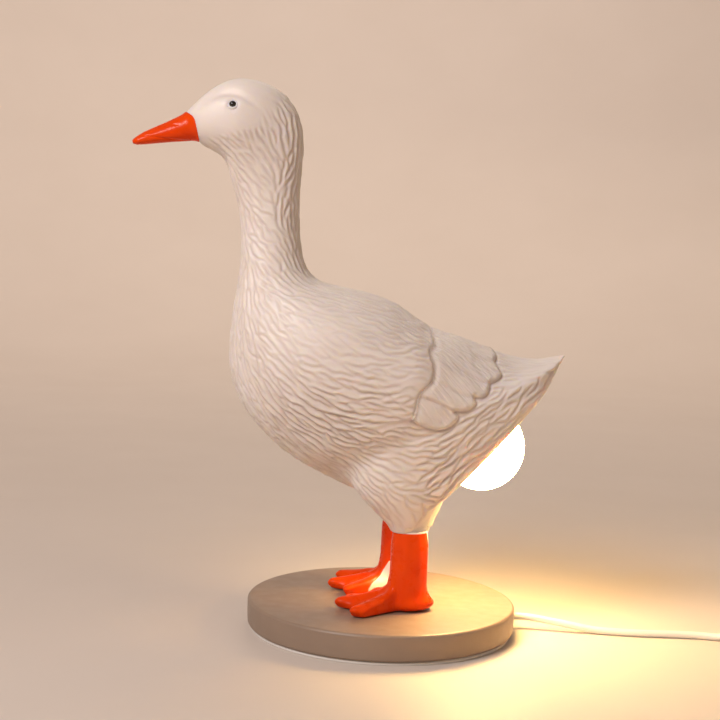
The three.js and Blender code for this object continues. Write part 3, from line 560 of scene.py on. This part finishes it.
# Where one feather lies over the next: lines forward from the notches, each with its step.
FEATHER_OVERLAPS = [
    ([(27.9, 122.1), (26.6, 122.5), (20.3, 125.7), (12.1, 128.9), (8.0, 129.9)], 1.1),
    ([(37.6, 128.9), (30.8, 130.7), (24.5, 133.7), (19.2, 137.6)], 0.5),
    ([(46.6, 135.3), (40.7, 137.1), (33.4, 141.0), (26.2, 146.7)], 0.55),
    ([(50.9, 144.6), (44.6, 145.8), (37.3, 149.6)], 0.4),
]

# How the feathers lie, seen from the side: (x, z, direction in degrees, 0 to the tail and 90 up).
FLOW = [
    (-60, 272, -48), (-52, 258, -84), (-50, 245, -93), (-95, 243, -28), (-84, 232, -36),
    (-80, 222, -44), (-66, 242, -46), (-72, 228, -36), (-70, 214, -32), (-71, 202, -36),
    (-57, 240, -116), (-57, 228, -112), (-56, 214, -104), (-51, 225, -92), (-52, 204, -86),
    (-62, 205, -44), (-66, 190, -46), (-48, 192, -68), (-80, 205, -62), (-81, 188, -66),
    (-78, 172, -60), (-60, 172, -50), (-42, 172, -26), (-81, 150, -58), (-62, 150, -38),
    (-40, 150, -28), (-74, 130, -42), (-54, 130, -30), (-32, 130, -18), (-20, 170, -12),
    (5, 165, -20), (22, 160, -20), (0, 150, -8), (0, 140, -2), (5, 130, 2), (-15, 140, -14),
    (-12, 122, -4), (-60, 110, -42), (-42, 105, -32), (-22, 105, -20), (-2, 106, -10),
    (-32, 90, -36), (-12, 85, -30), (4, 95, -14), (15, 102, 8), (20, 85, 44), (28, 80, 66),
    (30, 95, 55), (36, 110, 44), (50, 120, 40), (62, 130, 38), (76, 140, 36), (42, 126, 34),
    (0, 70, -62), (10, 62, -86), (18, 66, -60), (24, 74, -28), (55, 149, -8), (75, 147, 8),
    (90, 149, 18),
]


def flow_angle(spots):
    """The feathers' direction in radians at each (x, z) spot, blended from the nearest of FLOW."""
    total = np.zeros((len(spots), 2))
    for x, z, degrees in FLOW:
        near = 1 / (((spots - (x, z)) ** 2).sum(1) + 9.0) ** 1.5
        total += near[:, None] * (cos(radians(degrees)), sin(radians(degrees)))
    return np.arctan2(total[:, 1], total[:, 0])


def shoulder(gap, width):
    """A quarter-round rise from 0 at an edge to 1 at the given width."""
    return np.sqrt(1 - (1 - np.clip(gap / width, 0, 1)) ** 2)


def wing_relief(points, normals):
    """Height in millimetres of both folded wings, with their barb and edge masks and their hollow
    mask, which is painted shade in the ditches and folds.
    """
    sideways = np.abs(points[:, 1])
    spots = points[:, [0, 2]]
    height, hollow, barbs, edges = np.zeros((4, len(points)))
    near = (spots > (WING_X[0], WING_Z[0])).all(1) & (spots < (WING_X[1], WING_Z[1])).all(1)
    near &= normals @ LAMP_AXIS < FLAT_REAR
    at = np.flatnonzero(near)
    here = spots[at]
    covert = catmull(COVERT_EDGE, 6)
    feather = np.array(FEATHER_EDGE)
    feather = np.vstack([feather[:3], catmull(feather[2:], 5)[1:]])
    gap_c, share_c = nearest_on(covert[:, :2], here)
    rise_c = np.interp(share_c, np.linspace(0, 1, len(covert)), covert[:, 2])
    in_c = inside(np.vstack([covert[:, :2], COVERT_SIDE]), here)
    gap_f = nearest_on(feather, here)[0]
    in_f = inside(np.vstack([feather, FEATHER_SIDE]), here) & ~in_c
    low = smooth_step(143, 152, here[:, 1])
    rise_f = FEATHER_RISE * (1 - 0.45 * low)
    inward = np.where(in_c, gap_c, -gap_c)
    bulge = smooth_step(-0.8, 1.8, inward) * (0.4 + 0.6 * smooth_step(0, 9, inward))
    up = rise_c * np.exp(-np.maximum(inward, 0) / 18) * bulge
    up = np.where(in_f, np.maximum(up, rise_f * np.exp(-gap_f / 15) * shoulder(gap_f, 1.6)), up)
    ditch_c = rise_c / 2.5 * np.exp(-((inward + 1.3) / 1.4) ** 2)
    ditch_f = np.where(in_f, 0.6 * np.exp(-(gap_f / 0.6) ** 2), np.exp(-((gap_f - 0.4) / 1.0) ** 2))
    ditch_f *= (1 - 0.6 * low) * ~in_c
    up -= 0.5 * ditch_c + 0.6 * ditch_f
    spine = np.exp(-(sideways[at] / 1.8) ** 2) * (normals[at, 2] > 0.5)
    spine *= smooth_step(-45, -10, here[:, 0])
    up -= np.where(in_c | in_f, 0.8 * spine, 0.0)
    for line, step in FEATHER_OVERLAPS:
        line = catmull(line, 5)
        gap, share = nearest_on(line, here)
        ahead = np.interp(here[:, 0], line[::-1, 0], line[::-1, 1])
        under = here[:, 1] < ahead
        ends = smooth_step(1.0, 0.7, share)
        drop = np.where(under, np.exp(-gap / 5), 0.0) * smooth_step(-0.1, 0.8, gap) * step
        cut = np.exp(-(gap / 0.8) ** 2) * 0.45 * (0.4 + step)
        up -= np.where(in_f, drop + cut, 0.0) * ends
        shade = np.where(in_f, np.exp(-(gap / 0.8) ** 2) * (0.3 + 0.5 * step), 0.0)
        ditch_f = np.maximum(ditch_f, shade * ends)
    height[at] = up
    # Painted shade: the hollow mask darkens the colour along the covert's fold and in the feather
    # ditches and overlaps.
    fold = rise_c / 2.5 * np.exp(-((inward + 0.5) / 1.2) ** 2)
    hollow[at] = np.clip(fold * 0.38 + ditch_f * 0.45, 0, 1)
    barbs[at] = in_f * smooth_step(0.5, 2.5, gap_f)
    edges[at] = np.maximum(np.exp(-(gap_c / 1.8) ** 4) * np.minimum(rise_c, 1),
                           np.exp(-(gap_f / 1.8) ** 4) * ~in_c)
    return height, hollow, barbs, edges


# Where the feather cuts start on the face: x at each z.
FACE_Z, FACE_X = (240, 248, 253, 258, 276), (-112, -110, -98, -78, -66)
# Calmer areas on the wing's shoulder: (x, z, half width, half height, how much less).
SMOOTH_SPOTS = [(-40, 160, 27, 15, 0.7), (4, 137, 10, 8, 0.5)]
# Where the cuts fade out towards the tail's tip, as x.
TIP_START, TIP_END = 82, 94
# Round the lamp's axis: how far out and how deep the recess and the holder's hole are.
RECESS_RADIUS, RECESS_DEPTH = 31, 40
HOLE_RADIUS, HOLE_DEPTH = 16, 85


def stroke_strength(points, normals, barbs):
    """How deep the feather cuts are: none on the face, in the recess and round the ankles."""
    x, z = points[:, 0], points[:, 2]
    strength = np.ones(len(points))
    face = (z > 234) & (x < -60)
    edge = np.interp(z[face], FACE_Z, FACE_X)
    strength[face] = smooth_step(edge, edge + 15, x[face])
    for spot_x, spot_z, wide, tall, less in SMOOTH_SPOTS:
        strength *= 1 - less * np.exp(-(((x - spot_x) / wide) ** 2 + ((z - spot_z) / tall) ** 2))
    strength *= 1 + 0.3 * smooth_step(135, 112, z) * smooth_step(0, -30, x)
    strength *= 1 + 0.75 * smooth_step(8, 20, x) * smooth_step(104, 88, z)
    strength *= 0.85 + 0.3 * smooth_step(160, 110, z) * smooth_step(10, -25, x)
    flank = smooth_step(-24, -6, x) * smooth_step(112, 104, z)
    flank *= smooth_step(30, 14, x + 0.55 * (z - 70))
    strength *= (1 - 0.2 * flank) * smooth_step(56.5, 61, z)
    rear = points - GLOBE
    along = rear @ LAMP_AXIS
    strength *= smooth_step(-2.0, -4.0, along)
    radial = np.linalg.norm(rear - along[:, None] * LAMP_AXIS, axis=1)
    recess = (along > -RECESS_DEPTH) & (radial < RECESS_RADIUS)
    recess |= (along > -HOLE_DEPTH) & (radial < HOLE_RADIUS)
    strength *= ~recess
    strength *= smooth_step(TIP_END, TIP_START, x)
    tail_top = smooth_step(50, 66, x) * smooth_step(0.55, 0.8, normals[:, 2])
    strength *= (1 - 0.65 * tail_top) * (1 - 0.92 * barbs)
    return np.clip(strength, 0, 1.5)


# Feather cuts: how many are tried, the least gap between two side by side, how much of their
# lengths may overlap, their depth, and half their length on the body and on the neck.
STROKE_SEED = 7
STROKE_TRIES = 26000
STROKE_GAP = 2.2
STROKE_OVERLAP = 0.6
STROKE_DEPTH = 0.6
STROKE_HALF_BODY, STROKE_HALF_NECK = 5.8, 4.6
NECK_BOTTOM = 185
CELL = 7.0


def feather_strokes(points, normals, strength):
    """Height of thousands of short curved cuts that follow the feathers' lie, and their hollow mask,
    which is painted shade inside each cut.
    """
    rng = np.random.default_rng(STROKE_SEED)
    keys = np.floor(points / CELL).astype(int)
    order = np.lexsort(keys.T)
    sorted_keys = keys[order]
    starts = np.flatnonzero(np.r_[True, (np.diff(sorted_keys, axis=0) != 0).any(1)])
    ends = np.r_[starts[1:], len(order)]
    buckets = {tuple(sorted_keys[start]): order[start:end] for start, end in zip(starts, ends)}
    around = [(i, j, k) for i in (-1, 0, 1) for j in (-1, 0, 1) for k in (-1, 0, 1)]
    height, hollow = np.zeros(len(points)), np.zeros(len(points))
    placed = {}
    usable = np.flatnonzero(strength > 0.05)
    picks = rng.choice(usable, min(STROKE_TRIES, len(usable)), replace=False)
    angles = flow_angle(points[picks][:, [0, 2]]) + rng.normal(0, radians(8), len(picks))
    sizes = rng.uniform(0.75, 1.3, len(picks))
    bends = rng.normal(0, 0.022, len(picks))
    for pick, angle, size, bend in zip(picks, angles, sizes, bends):
        spot, normal = points[pick], normals[pick]
        lie = np.array((cos(angle), 0.0, sin(angle)))
        lie -= normal * (lie @ normal)
        long = np.linalg.norm(lie)
        if long < 0.2:
            continue
        lie /= long
        across = np.cross(normal, lie)
        half = (STROKE_HALF_BODY if spot[2] < NECK_BOTTOM else STROKE_HALF_NECK) * size
        key = tuple(np.floor(spot / CELL).astype(int))
        cells = [(key[0] + i, key[1] + j, key[2] + k) for i, j, k in around]
        others = [other for k in cells for other in placed.get(k, ())]
        if any(abs((other - spot) @ across) < STROKE_GAP
               and abs((other - spot) @ lie) < STROKE_OVERLAP * (half + other_half)
               for other, other_half in others):
            continue
        placed.setdefault(key, []).append((spot, half))
        close = np.concatenate([buckets[k] for k in cells if k in buckets])
        gap = points[close] - spot
        u, v, w = gap @ lie, gap @ across, gap @ normal
        keep = (np.abs(u) < 1.5 * half) & (np.abs(v) < 5) & (np.abs(w) < 3.5)
        keep &= normals[close] @ normal > 0.35
        close, u, v = close[keep], u[keep], v[keep]
        v = v - bend * u * u - 0.3 * np.sin(u * 0.55 + size * 9)
        fade = np.exp(-(u / half) ** 4)
        depth = STROKE_DEPTH * (0.6 + 0.5 * size)
        cut = np.exp(-(v / 0.85) ** 2)
        height[close] += depth * fade * (0.5 * np.exp(-((v - 1.45) / 1.1) ** 2) - cut
                                         + 0.3 * np.exp(-((v + 1.5) / 1.2) ** 2))
        # Painted shade inside each cut.
        hollow[close] = np.maximum(hollow[close], cut * fade)
    return height, hollow


# The orange paint's edge on the face, from the top of the bill to its underside, in (x, z).
BILL_SEAM = [(-112.5, 268), (-110.2, 264.6), (-107.7, 263.2), (-105.3, 260.9), (-104.2, 257.3),
             (-103.0, 252.2), (-102.4, 249.4), (-101.8, 244)]
# Round each eye, in millimetres: the lids' swelling, the cheek's, and how deep the hollow above is.
LID_RISE, CHEEK_RISE, BROW_DEPTH, BROW_SHADE = 0.45, 0.6, 1.5, 0.28


def face_relief(points):
    """The soft hollow over each eye with its shade, the lids' swelling and the cheek."""
    height, shade = np.zeros(len(points)), np.zeros(len(points))
    for side in (LEFT, RIGHT):
        gap = points - EYE * (1, side, 1)
        flat = gap[:, [0, 2]]
        near = (points[:, 1] * side > 3) & (np.abs(gap[:, 1]) < 9)
        over = flat[:, 1] - 5.6 + 0.035 * (flat[:, 0] + 1.5) ** 2
        band = np.exp(-(over / 2.2) ** 2 - ((flat[:, 0] + 2) / 11) ** 2)
        almond = np.exp(-((flat[:, 0] + 0.5) / 6.5) ** 2 - (flat[:, 1] / 2.8) ** 2)
        cheek = np.exp(-((flat[:, 0] - 4) / 11) ** 2 - ((flat[:, 1] + 11) / 6) ** 2)
        height += np.where(near, LID_RISE * almond + CHEEK_RISE * cheek - BROW_DEPTH * band, 0.0)
        shade += np.where(near, BROW_SHADE * band, 0.0)
    return height, shade


# The rounding of the goose's rear rim: how far forward it starts and how far in it ends.
RIM_DEPTH, RIM_PULL = 8.5, 3.0


def rim_rounding(points):
    """How far inward the goose's flanks go where they turn into its flat rear."""
    rear = points - GLOBE
    along = rear @ LAMP_AXIS
    deep = np.clip((REAR_PLANE - along) / RIM_DEPTH, 0, 1)
    flank = smooth_step(29, 32, np.linalg.norm(rear - along[:, None] * LAMP_AXIS, axis=1))
    pull = RIM_PULL * (1 - np.sqrt(1 - (1 - deep) ** 2))
    return np.minimum(pull, 0.28 * np.abs(points[:, 1])) * flank


# The distance stored where there is no paint's edge nearby.
UNPAINTED = -20.0


def seam_distance(points):
    """How far each point is from the bill's paint edge in millimetres, above 0 on the bill."""
    seam = catmull(BILL_SEAM, 6)
    spots = points[:, [0, 2]]
    gap = nearest_on(seam, spots)[0]
    front = inside(np.vstack([seam, [(-150, 240), (-150, 268)]]), spots)
    painted = np.where(front, gap, -gap)
    painted[spots[:, 0] > -90] = UNPAINTED
    return painted


# Rounds of smoothing for the whole skin and more for the crease between belly and thigh, which is
# at this (x, z). The body's rear stands out by REAR_FULLER further than the CAD's.
SKIN_ROUNDS, CREASE_ROUNDS = 46, 120
CREASE = (-14, 88)
REAR_FULLER = 1.3


def add_goose():
    """The goose's skin: the CAD solid smoothed, with wings, feather cuts, face and paint's edge."""
    voxel = BODY_VOXEL
    mesh = voxel_skin(NODES["goose_body"].data.copy(), voxel)
    cast = read_points(mesh)
    x, z = cast[:, 0], cast[:, 2]
    hold = smooth_step(THIGH_BOTTOM + 0.4, THIGH_BOTTOM + 3.5, z)
    hold *= 1 - 0.88 * smooth_step(80, 89, x)
    points = relaxed(mesh, cast, SKIN_ROUNDS, hold)
    crease = np.exp(-((x - CREASE[0]) / 14) ** 2 - ((z - CREASE[1]) / 12) ** 2)
    points = relaxed(mesh, points, CREASE_ROUNDS, hold * crease)
    before, after = (cast - GLOBE) @ LAMP_AXIS, (points - GLOBE) @ LAMP_AXIS
    points += (smooth_step(-4.5, -2.7, before) * (before - after))[:, None] * LAMP_AXIS
    points[:, 1] -= np.sign(points[:, 1]) * rim_rounding(points)
    fuller = REAR_FULLER * smooth_step(-16, -3, before) * (1 - 0.5 * smooth_step(75, 95, x))
    fuller *= z > THIGH_BOTTOM + 4
    points += fuller[:, None] * LAMP_AXIS
    write_points(mesh, points)
    normals = read_normals(mesh)
    height, hollow, barbs, edges = wing_relief(points, normals)
    strength = stroke_strength(points, normals, barbs) * (1 - 0.85 * edges)
    cut, cut_hollow = feather_strokes(points, normals, strength)
    face, shade = face_relief(points)
    height += face + np.clip(cut, -0.85, 0.6) * strength
    # Painted shade: the hollow mask joins the wings' ditch shade, the cuts' shade and the shade over
    # the eyes, and is stored for white_resin to darken the colour.
    hollow = np.clip(hollow + 0.38 * cut_hollow * strength + shade, 0, 1)
    painted = seam_distance(points)
    height -= 0.9 * smooth_step(-0.25, 0.45, painted) + 2.2 * smooth_step(0.7, 2.5, painted)
    points = points + normals * height[:, None]
    hem = smooth_step(THIGH_BOTTOM + 5, THIGH_BOTTOM + 1, z) * (points[:, 0] < 30)
    thigh = points[:, :2] - np.stack([np.full(len(points), LEG_X), LEG_Y * np.sign(points[:, 1])], 1)
    points[:, :2] += 0.35 * (hem / np.maximum(np.linalg.norm(thigh, axis=1), 1))[:, None] * thigh
    points[:, 2] = np.maximum(points[:, 2], THIGH_BOTTOM - 0.3)
    write_points(mesh, points)
    store(mesh, "hollow", hollow)
    store(mesh, "barbs", barbs)
    store(mesh, "painted", painted)
    add_piece("goose", mesh, "white_resin", replaced=("goose_body",))
    return points, read_normals(mesh)


# The eye's bead, and how far its centre lies under the skin.
EYE_RADIUS, EYE_SUNK = 1.75, 0.55


def add_eyes(skin, normals):
    """Black glass beads, each in a raised white rim that lies on the goose's skin."""
    for side, name in ((LEFT, "left"), (RIGHT, "right")):
        eye = EYE * (1, side, 1)
        distance = np.linalg.norm(skin - eye, axis=1)
        ring = (distance > 2.9) & (distance < 4.2) & (skin[:, 1] * side > 8)
        out = Vector(normals[ring].mean(0)).normalized()
        tilt = out.to_track_quat("Z", "Y").to_matrix().to_4x4()
        level = (skin[ring].mean(0) - eye) @ np.array(out)
        turn = Matrix.Translation(Vector(eye) * MM) @ tilt
        dome = [(EYE_RADIUS * sin(a), level - EYE_SUNK + EYE_RADIUS * cos(a))
                for a in np.linspace(pi, 0, 26)]
        dome[0], dome[-1] = (0, level - EYE_SUNK - EYE_RADIUS), (0, level - EYE_SUNK + EYE_RADIUS)
        mesh = revolved(f"bead_{name}", dome, turn, 40)
        add_piece(f"bead_{name}", mesh, "eye_black", replaced=(f"eye_{name}",))
        lid = rounded_profile([(3.0, level - 0.7), (2.7, level + 0.1), (2.1, level + 0.4),
                               (1.62, level + 0.2), (1.6, level - 0.9)], 0.5)
        lid = revolved(f"lid_{name}", lid + [(3.0, level - 0.7)], turn, 48)
        for attribute, value in (("hollow", 0.0), ("barbs", 0.0), ("painted", UNPAINTED)):
            store(lid, attribute, np.full(len(lid.vertices), value))
        add_piece(f"lid_{name}", lid, "white_resin")


# A point at the bill's root, the bill's direction, and the plane that cuts the head off behind it.
BILL_ROOT = (-110.1, 0, 263.5)
ALONG_BILL = (-0.894, 0, -0.447)
BROW_CUT = -94.5
# The bill's smoothing rounds and those at its joint, then its details: the mouth line's z and slope
# from MOUTH_X, the nostril's (x, z), and how high or deep the ridge, mouth and nostril are.
BILL_ROUNDS, JOINT_ROUNDS = 24, 120
MOUTH_X, MOUTH_Z, MOUTH_SLOPE = -118, 250.4, -0.09
NOSTRIL = (-114.5, 257.6)
RIDGE_RISE, MOUTH_DEPTH, NOSTRIL_DEPTH = 0.25, 0.4, 0.25


def bill_and_brow():
    """The bill and the head's front together, so that the bill runs on past the paint's edge."""
    both = bmesh.new()
    both.from_mesh(NODES["bill"].data)
    centre, along = Vector(BILL_ROOT) * MM, Vector(ALONG_BILL)
    root = [v for v in both.verts if (v.co - centre).dot(along) < 1.5 * MM]
    bmesh.ops.translate(both, verts=root, vec=-1.8 * MM * along)
    head = bmesh.new()
    head.from_mesh(NODES["goose_body"].data)
    bmesh.ops.remove_doubles(head, verts=head.verts, dist=0.005 * MM)
    parts = [*head.verts, *head.edges, *head.faces]
    cut = bmesh.ops.bisect_plane(head, geom=parts, plane_co=(BROW_CUT * MM, 0, 0),
                                 plane_no=(1, 0, 0), clear_outer=True)
    rim = [e for e in cut["geom_cut"] if isinstance(e, bmesh.types.BMEdge)]
    bmesh.ops.contextual_create(head, geom=rim)
    front = bpy.data.meshes.new("front")
    head.to_mesh(front)
    both.from_mesh(front)
    mesh = bpy.data.meshes.new("bill_source")
    both.to_mesh(mesh)
    return mesh


def add_bill():
    """The bill with its mouth line, nostrils and ridge, cut off just behind the paint's edge."""
    mesh = voxel_skin(bill_and_brow(), BILL_VOXEL)
    cast = read_points(mesh)
    points = relaxed(mesh, cast, BILL_ROUNDS, 1 - 0.8 * smooth_step(-129, -134, cast[:, 0]))
    joint = np.exp(-(((points - BILL_ROOT) @ np.array(ALONG_BILL)) / 6) ** 2)
    joint *= smooth_step(-1.0, 0.5, seam_distance(points))
    points = relaxed(mesh, points, JOINT_ROUNDS, joint)
    write_points(mesh, points)
    normals = read_normals(mesh)
    x, y, z = points.T
    sideways = smooth_step(1.0, 3.0, np.abs(y))
    mouth = MOUTH_Z + MOUTH_SLOPE * (x - MOUTH_X)
    crease = np.exp(-((z - mouth) / 0.45) ** 2) * sideways * smooth_step(-134, -126, x)
    nostril = np.exp(-((x - NOSTRIL[0]) / 2.0) ** 2 - ((z - NOSTRIL[1]) / 0.6) ** 2) * sideways
    ridge = np.exp(-(y / 1.6) ** 2) * (normals[:, 2] > 0.2)
    painted = seam_distance(points)
    tuck = 0.8 * smooth_step(0.15, -0.7, painted)
    height = RIDGE_RISE * ridge - MOUTH_DEPTH * crease - NOSTRIL_DEPTH * nostril - tuck
    points = points + normals * height[:, None]
    write_points(mesh, points)
    kept = bmesh.new()
    kept.from_mesh(mesh)
    kept.verts.ensure_lookup_table()
    behind = [kept.verts[i] for i in np.flatnonzero(painted < -1.1)]
    bmesh.ops.delete(kept, geom=behind, context="VERTS")
    kept.to_mesh(mesh)
    add_piece("bill_skin", mesh, "orange_resin", replaced=("bill",))


# Where the orange paint stops on the inside of each leg: z, the angle from straight ahead inwards
# at which the bare resin starts, and the angle, past the rear, at which the paint starts again.
PAINT_STOPS = np.array([
    (15, 37, 180), (20, 37, 182), (25, 35, 184), (28, 35, 186), (30, 40, 187), (32.6, 49, 188),
    (35, 74, 189), (40, 102, 190), (46, 125, 192), (50, 145, 195), (53.5, 165, 198),
    (56.5, 190, 206),
])
# Round each leg, in degrees from the tail over the inside: the toes with their lengths, height and
# half width and the knobs at their ends, the grooves between them, and the shank's folds with their
# heights.
TOES = {153.0: 35.0, 181.0: 37.2, 213.0: 36.6}
TOE_RISE, TOE_HALF, KNOB_RISE = 1.2, 3.8, 1.1
GROOVES, GROOVE_DEPTH = (167.0, 197.0), 0.3
FOLDS = ((250, 0.4), (292, 0.35), (205, 0.3), (70, 0.4), (120, 0.35), (335, 0.4))
SHANK_RADIUS, PAINT_TOP = 9, 56.5
# The swelling at the ankle: its angle, z and height.
ANKLE_ANGLE, ANKLE_Z, ANKLE_RISE = 237, 28, 0.55
# How much lower the near foot's inner toe is drawn, which the photograph hides, and the sole.
INNER_TOE_DROP = 2.4
SOLE = BASE_TOP + 0.05


def bare_resin(angle_in, z, reach):
    """How far each point of a leg is inside the unpainted patch, in millimetres."""
    start = np.interp(z, PAINT_STOPS[:, 0], PAINT_STOPS[:, 1])
    stop = np.interp(z, PAINT_STOPS[:, 0], PAINT_STOPS[:, 2])
    return np.radians(np.minimum(angle_in - start, stop - angle_in)) * reach


def add_legs():
    """The legs with ridged toes, webs, folds in the skin and the paint's edge."""
    for side, name in ((LEFT, "left"), (RIGHT, "right")):
        mesh = voxel_skin(NODES[f"leg_{name}"].data.copy(), LEG_VOXEL)
        points = relaxed(mesh, read_points(mesh), 12)
        points[:, 2] = np.maximum(points[:, 2], BASE_TOP + 0.1)
        write_points(mesh, points)
        normals = read_normals(mesh)
        ahead, out = points[:, 0] - LEG_X, -(points[:, 1] - side * LEG_Y) * side
        reach = np.hypot(ahead, out)
        angle = np.degrees(np.arctan2(out, ahead)) % 360
        height = np.zeros(len(points))
        top = smooth_step(0.15, 0.5, normals[:, 2]) * smooth_step(12, 19, reach)
        for toe, length in TOES.items():
            off = np.radians(angle - toe) * reach
            height += TOE_RISE * np.exp(-(off / TOE_HALF) ** 2) * top
            knob = np.exp(-((reach - length + 2.2) / 3.4) ** 2 - (off / TOE_HALF) ** 2)
            height += KNOB_RISE * knob * smooth_step(-0.2, 0.4, normals[:, 2])
        for groove in GROOVES:
            off = np.radians(angle - groove) * reach
            height -= GROOVE_DEPTH * np.exp(-(off / 2.6) ** 2) * top
        shank = smooth_step(26, 34, points[:, 2]) * smooth_step(54, 48, points[:, 2])
        for fold, rise in FOLDS:
            off = np.radians((angle - fold + 180) % 360 - 180) * SHANK_RADIUS
            height += rise * np.exp(-(off / 2.2) ** 2) * shank
        round_ankle = ((angle - ANKLE_ANGLE + 180) % 360 - 180) / 24
        ankle = np.exp(-((points[:, 2] - ANKLE_Z) / 3.5) ** 2 - round_ankle ** 2)
        height += ANKLE_RISE * ankle * (reach < 17) - 0.35 * smooth_step(50, 55, points[:, 2])
        points = relaxed(mesh, points + normals * height[:, None], 5)
        if side == LEFT:
            inner = np.exp(-(np.radians(angle - 150) * reach / 6) ** 2) * smooth_step(16, 24, reach)
            points[:, 2] -= INNER_TOE_DROP * inner
        points[:, 2] = np.maximum(points[:, 2], SOLE)
        tall = points[:, 2] > 55
        points[tall, 2] += 1.6
        write_points(mesh, points)
        bare = bare_resin((180 - angle) % 360, points[:, 2], reach)
        bare = np.maximum(bare, points[:, 2] - PAINT_TOP)
        store(mesh, "bare", 1 + bare)
        add_piece(f"leg_skin_{name}", mesh, "orange_resin", replaced=(f"leg_{name}",))


def add_base():
    """The painted disc, hollow below, and the foam pad under it."""
    rim = [(0, BASE_TOP), (63, BASE_TOP), (68.9, 15.45), (69.9, 14.5), (69.9, 8), (69.6, 3.0),
           (69.0, 1.95), (60.6, 1.9)]
    rim = rounded_profile(rim, 1.0, 6)
    disc = revolved("base", rim + [(60.6, 3.8), (58, 3.8), (58, 11), (0, 11)], count=200)
    add_piece("base", disc, "base_resin", replaced=("base_disc",))
    pad = rounded_profile([(0, 1.6), (68.1, 1.6), (68.4, 0.8), (68.1, 0.0), (0, 0.0)], 0.4)
    add_piece("pad", revolved("pad", pad, count=200), "pad_foam", replaced=("base_pad",))


def add_lamp():
    """The opal globe as a thin shell and the housing behind it, about the lamp's own axis."""
    start = np.arccos(-GLOBE_NECK / GLOBE_RADIUS)
    inside_radius = GLOBE_RADIUS - GLOBE_WALL
    globe = [(GLOBE_RADIUS * sin(a), GLOBE_RADIUS * cos(a)) for a in np.linspace(start, 0, 40)]
    globe[-1] = (0, GLOBE_RADIUS)
    inner = [(inside_radius * sin(a), inside_radius * cos(a))
             for a in np.linspace(0, start * 0.99, 30)]
    inner[0] = (0, inside_radius)
    shell = revolved("globe", globe + inner + [globe[0]], LAMP_FRAME)
    add_piece("globe", shell, "bulb_opal", "bulb", ("bulb_globe",))
    wall = [(8.0, -31), (8.3, -30.6), (9.2, -28), (13.4, -20.5), (16.3, -15.8), (15, -15.8),
            (12.2, -20.6), (7.8, -28.2), (6.9, -31), (8.0, -31)]
    housing = revolved("housing", rounded_profile(wall, 0.8), LAMP_FRAME, 72)
    add_piece("housing", housing, "bulb_plastic", "bulb", ("bulb_housing",))


# ---- studio -----------------------------------------------------------------------------------
def add_studio():
    """A plain pale floor that curves up far behind, and soft lights."""
    flat, bend, top = 1000, 1100, 2600
    curve = [(flat + bend * sin(a), bend * (1 - cos(a))) for a in np.linspace(0, pi / 2, 24)]
    floor = revolved("floor", [(0, 0), (flat * 0.5, 0), *curve, (flat + bend, top)], count=128)
    paint = Paint("floor")
    paint.set(Base_Color=paint.mottled(160, rgb(0.70, 0.615, 0.545), rgb(0.68, 0.595, 0.525)))
    paint.set(Roughness=paint.between(paint.noise(60), 0.5, 0.6))
    floor.materials.append(paint.material)
    floor.polygons.foreach_set("use_smooth", np.ones(len(floor.polygons), bool))
    sweep = bpy.data.objects.new("floor", floor)
    bpy.context.scene.collection.objects.link(sweep)
    world = bpy.data.worlds.new("studio")
    world.use_nodes = True
    world.node_tree.nodes["Background"].inputs["Color"].default_value = rgb(1.0, 0.88, 0.78)
    world.node_tree.nodes["Background"].inputs["Strength"].default_value = 0.28
    bpy.context.scene.world = world
    bpy.context.scene.view_settings.view_transform = "Standard"
    goose, backdrop = (0, 0, 0.14), (0, 2.0, 0.1)
    for name, place, target, size, power, colour in (
        ("key", (-0.86, -0.80, 1.11), goose, 0.5, 16.5, (1.0, 0.94, 0.93)),
        ("fill", (0.9, -1.1, 0.6), goose, 0.9, 0.9, (1.0, 0.84, 0.66)),
        ("back", (0.5, 1.2, 1.0), goose, 0.9, 2.2, (1.0, 0.84, 0.66)),
        ("backdrop", (0, 0.9, 1.6), backdrop, 1.6, 6.3, (1.0, 0.87, 0.78)),
    ):
        light = bpy.data.lights.new(name, "AREA")
        light.size = size
        light.energy = power
        light.color = colour
        lamp = bpy.data.objects.new(name, light)
        lamp.location = place
        light.spread = radians(180 if target == goose else 100)
        aim = Vector(target) - Vector(place)
        lamp.rotation_euler = aim.to_track_quat("-Z", "Y").to_euler()
        bpy.context.scene.collection.objects.link(lamp)


finish_nodes()
add_eyes(*add_goose())
add_bill()
add_legs()
add_base()
add_lamp()
add_studio()
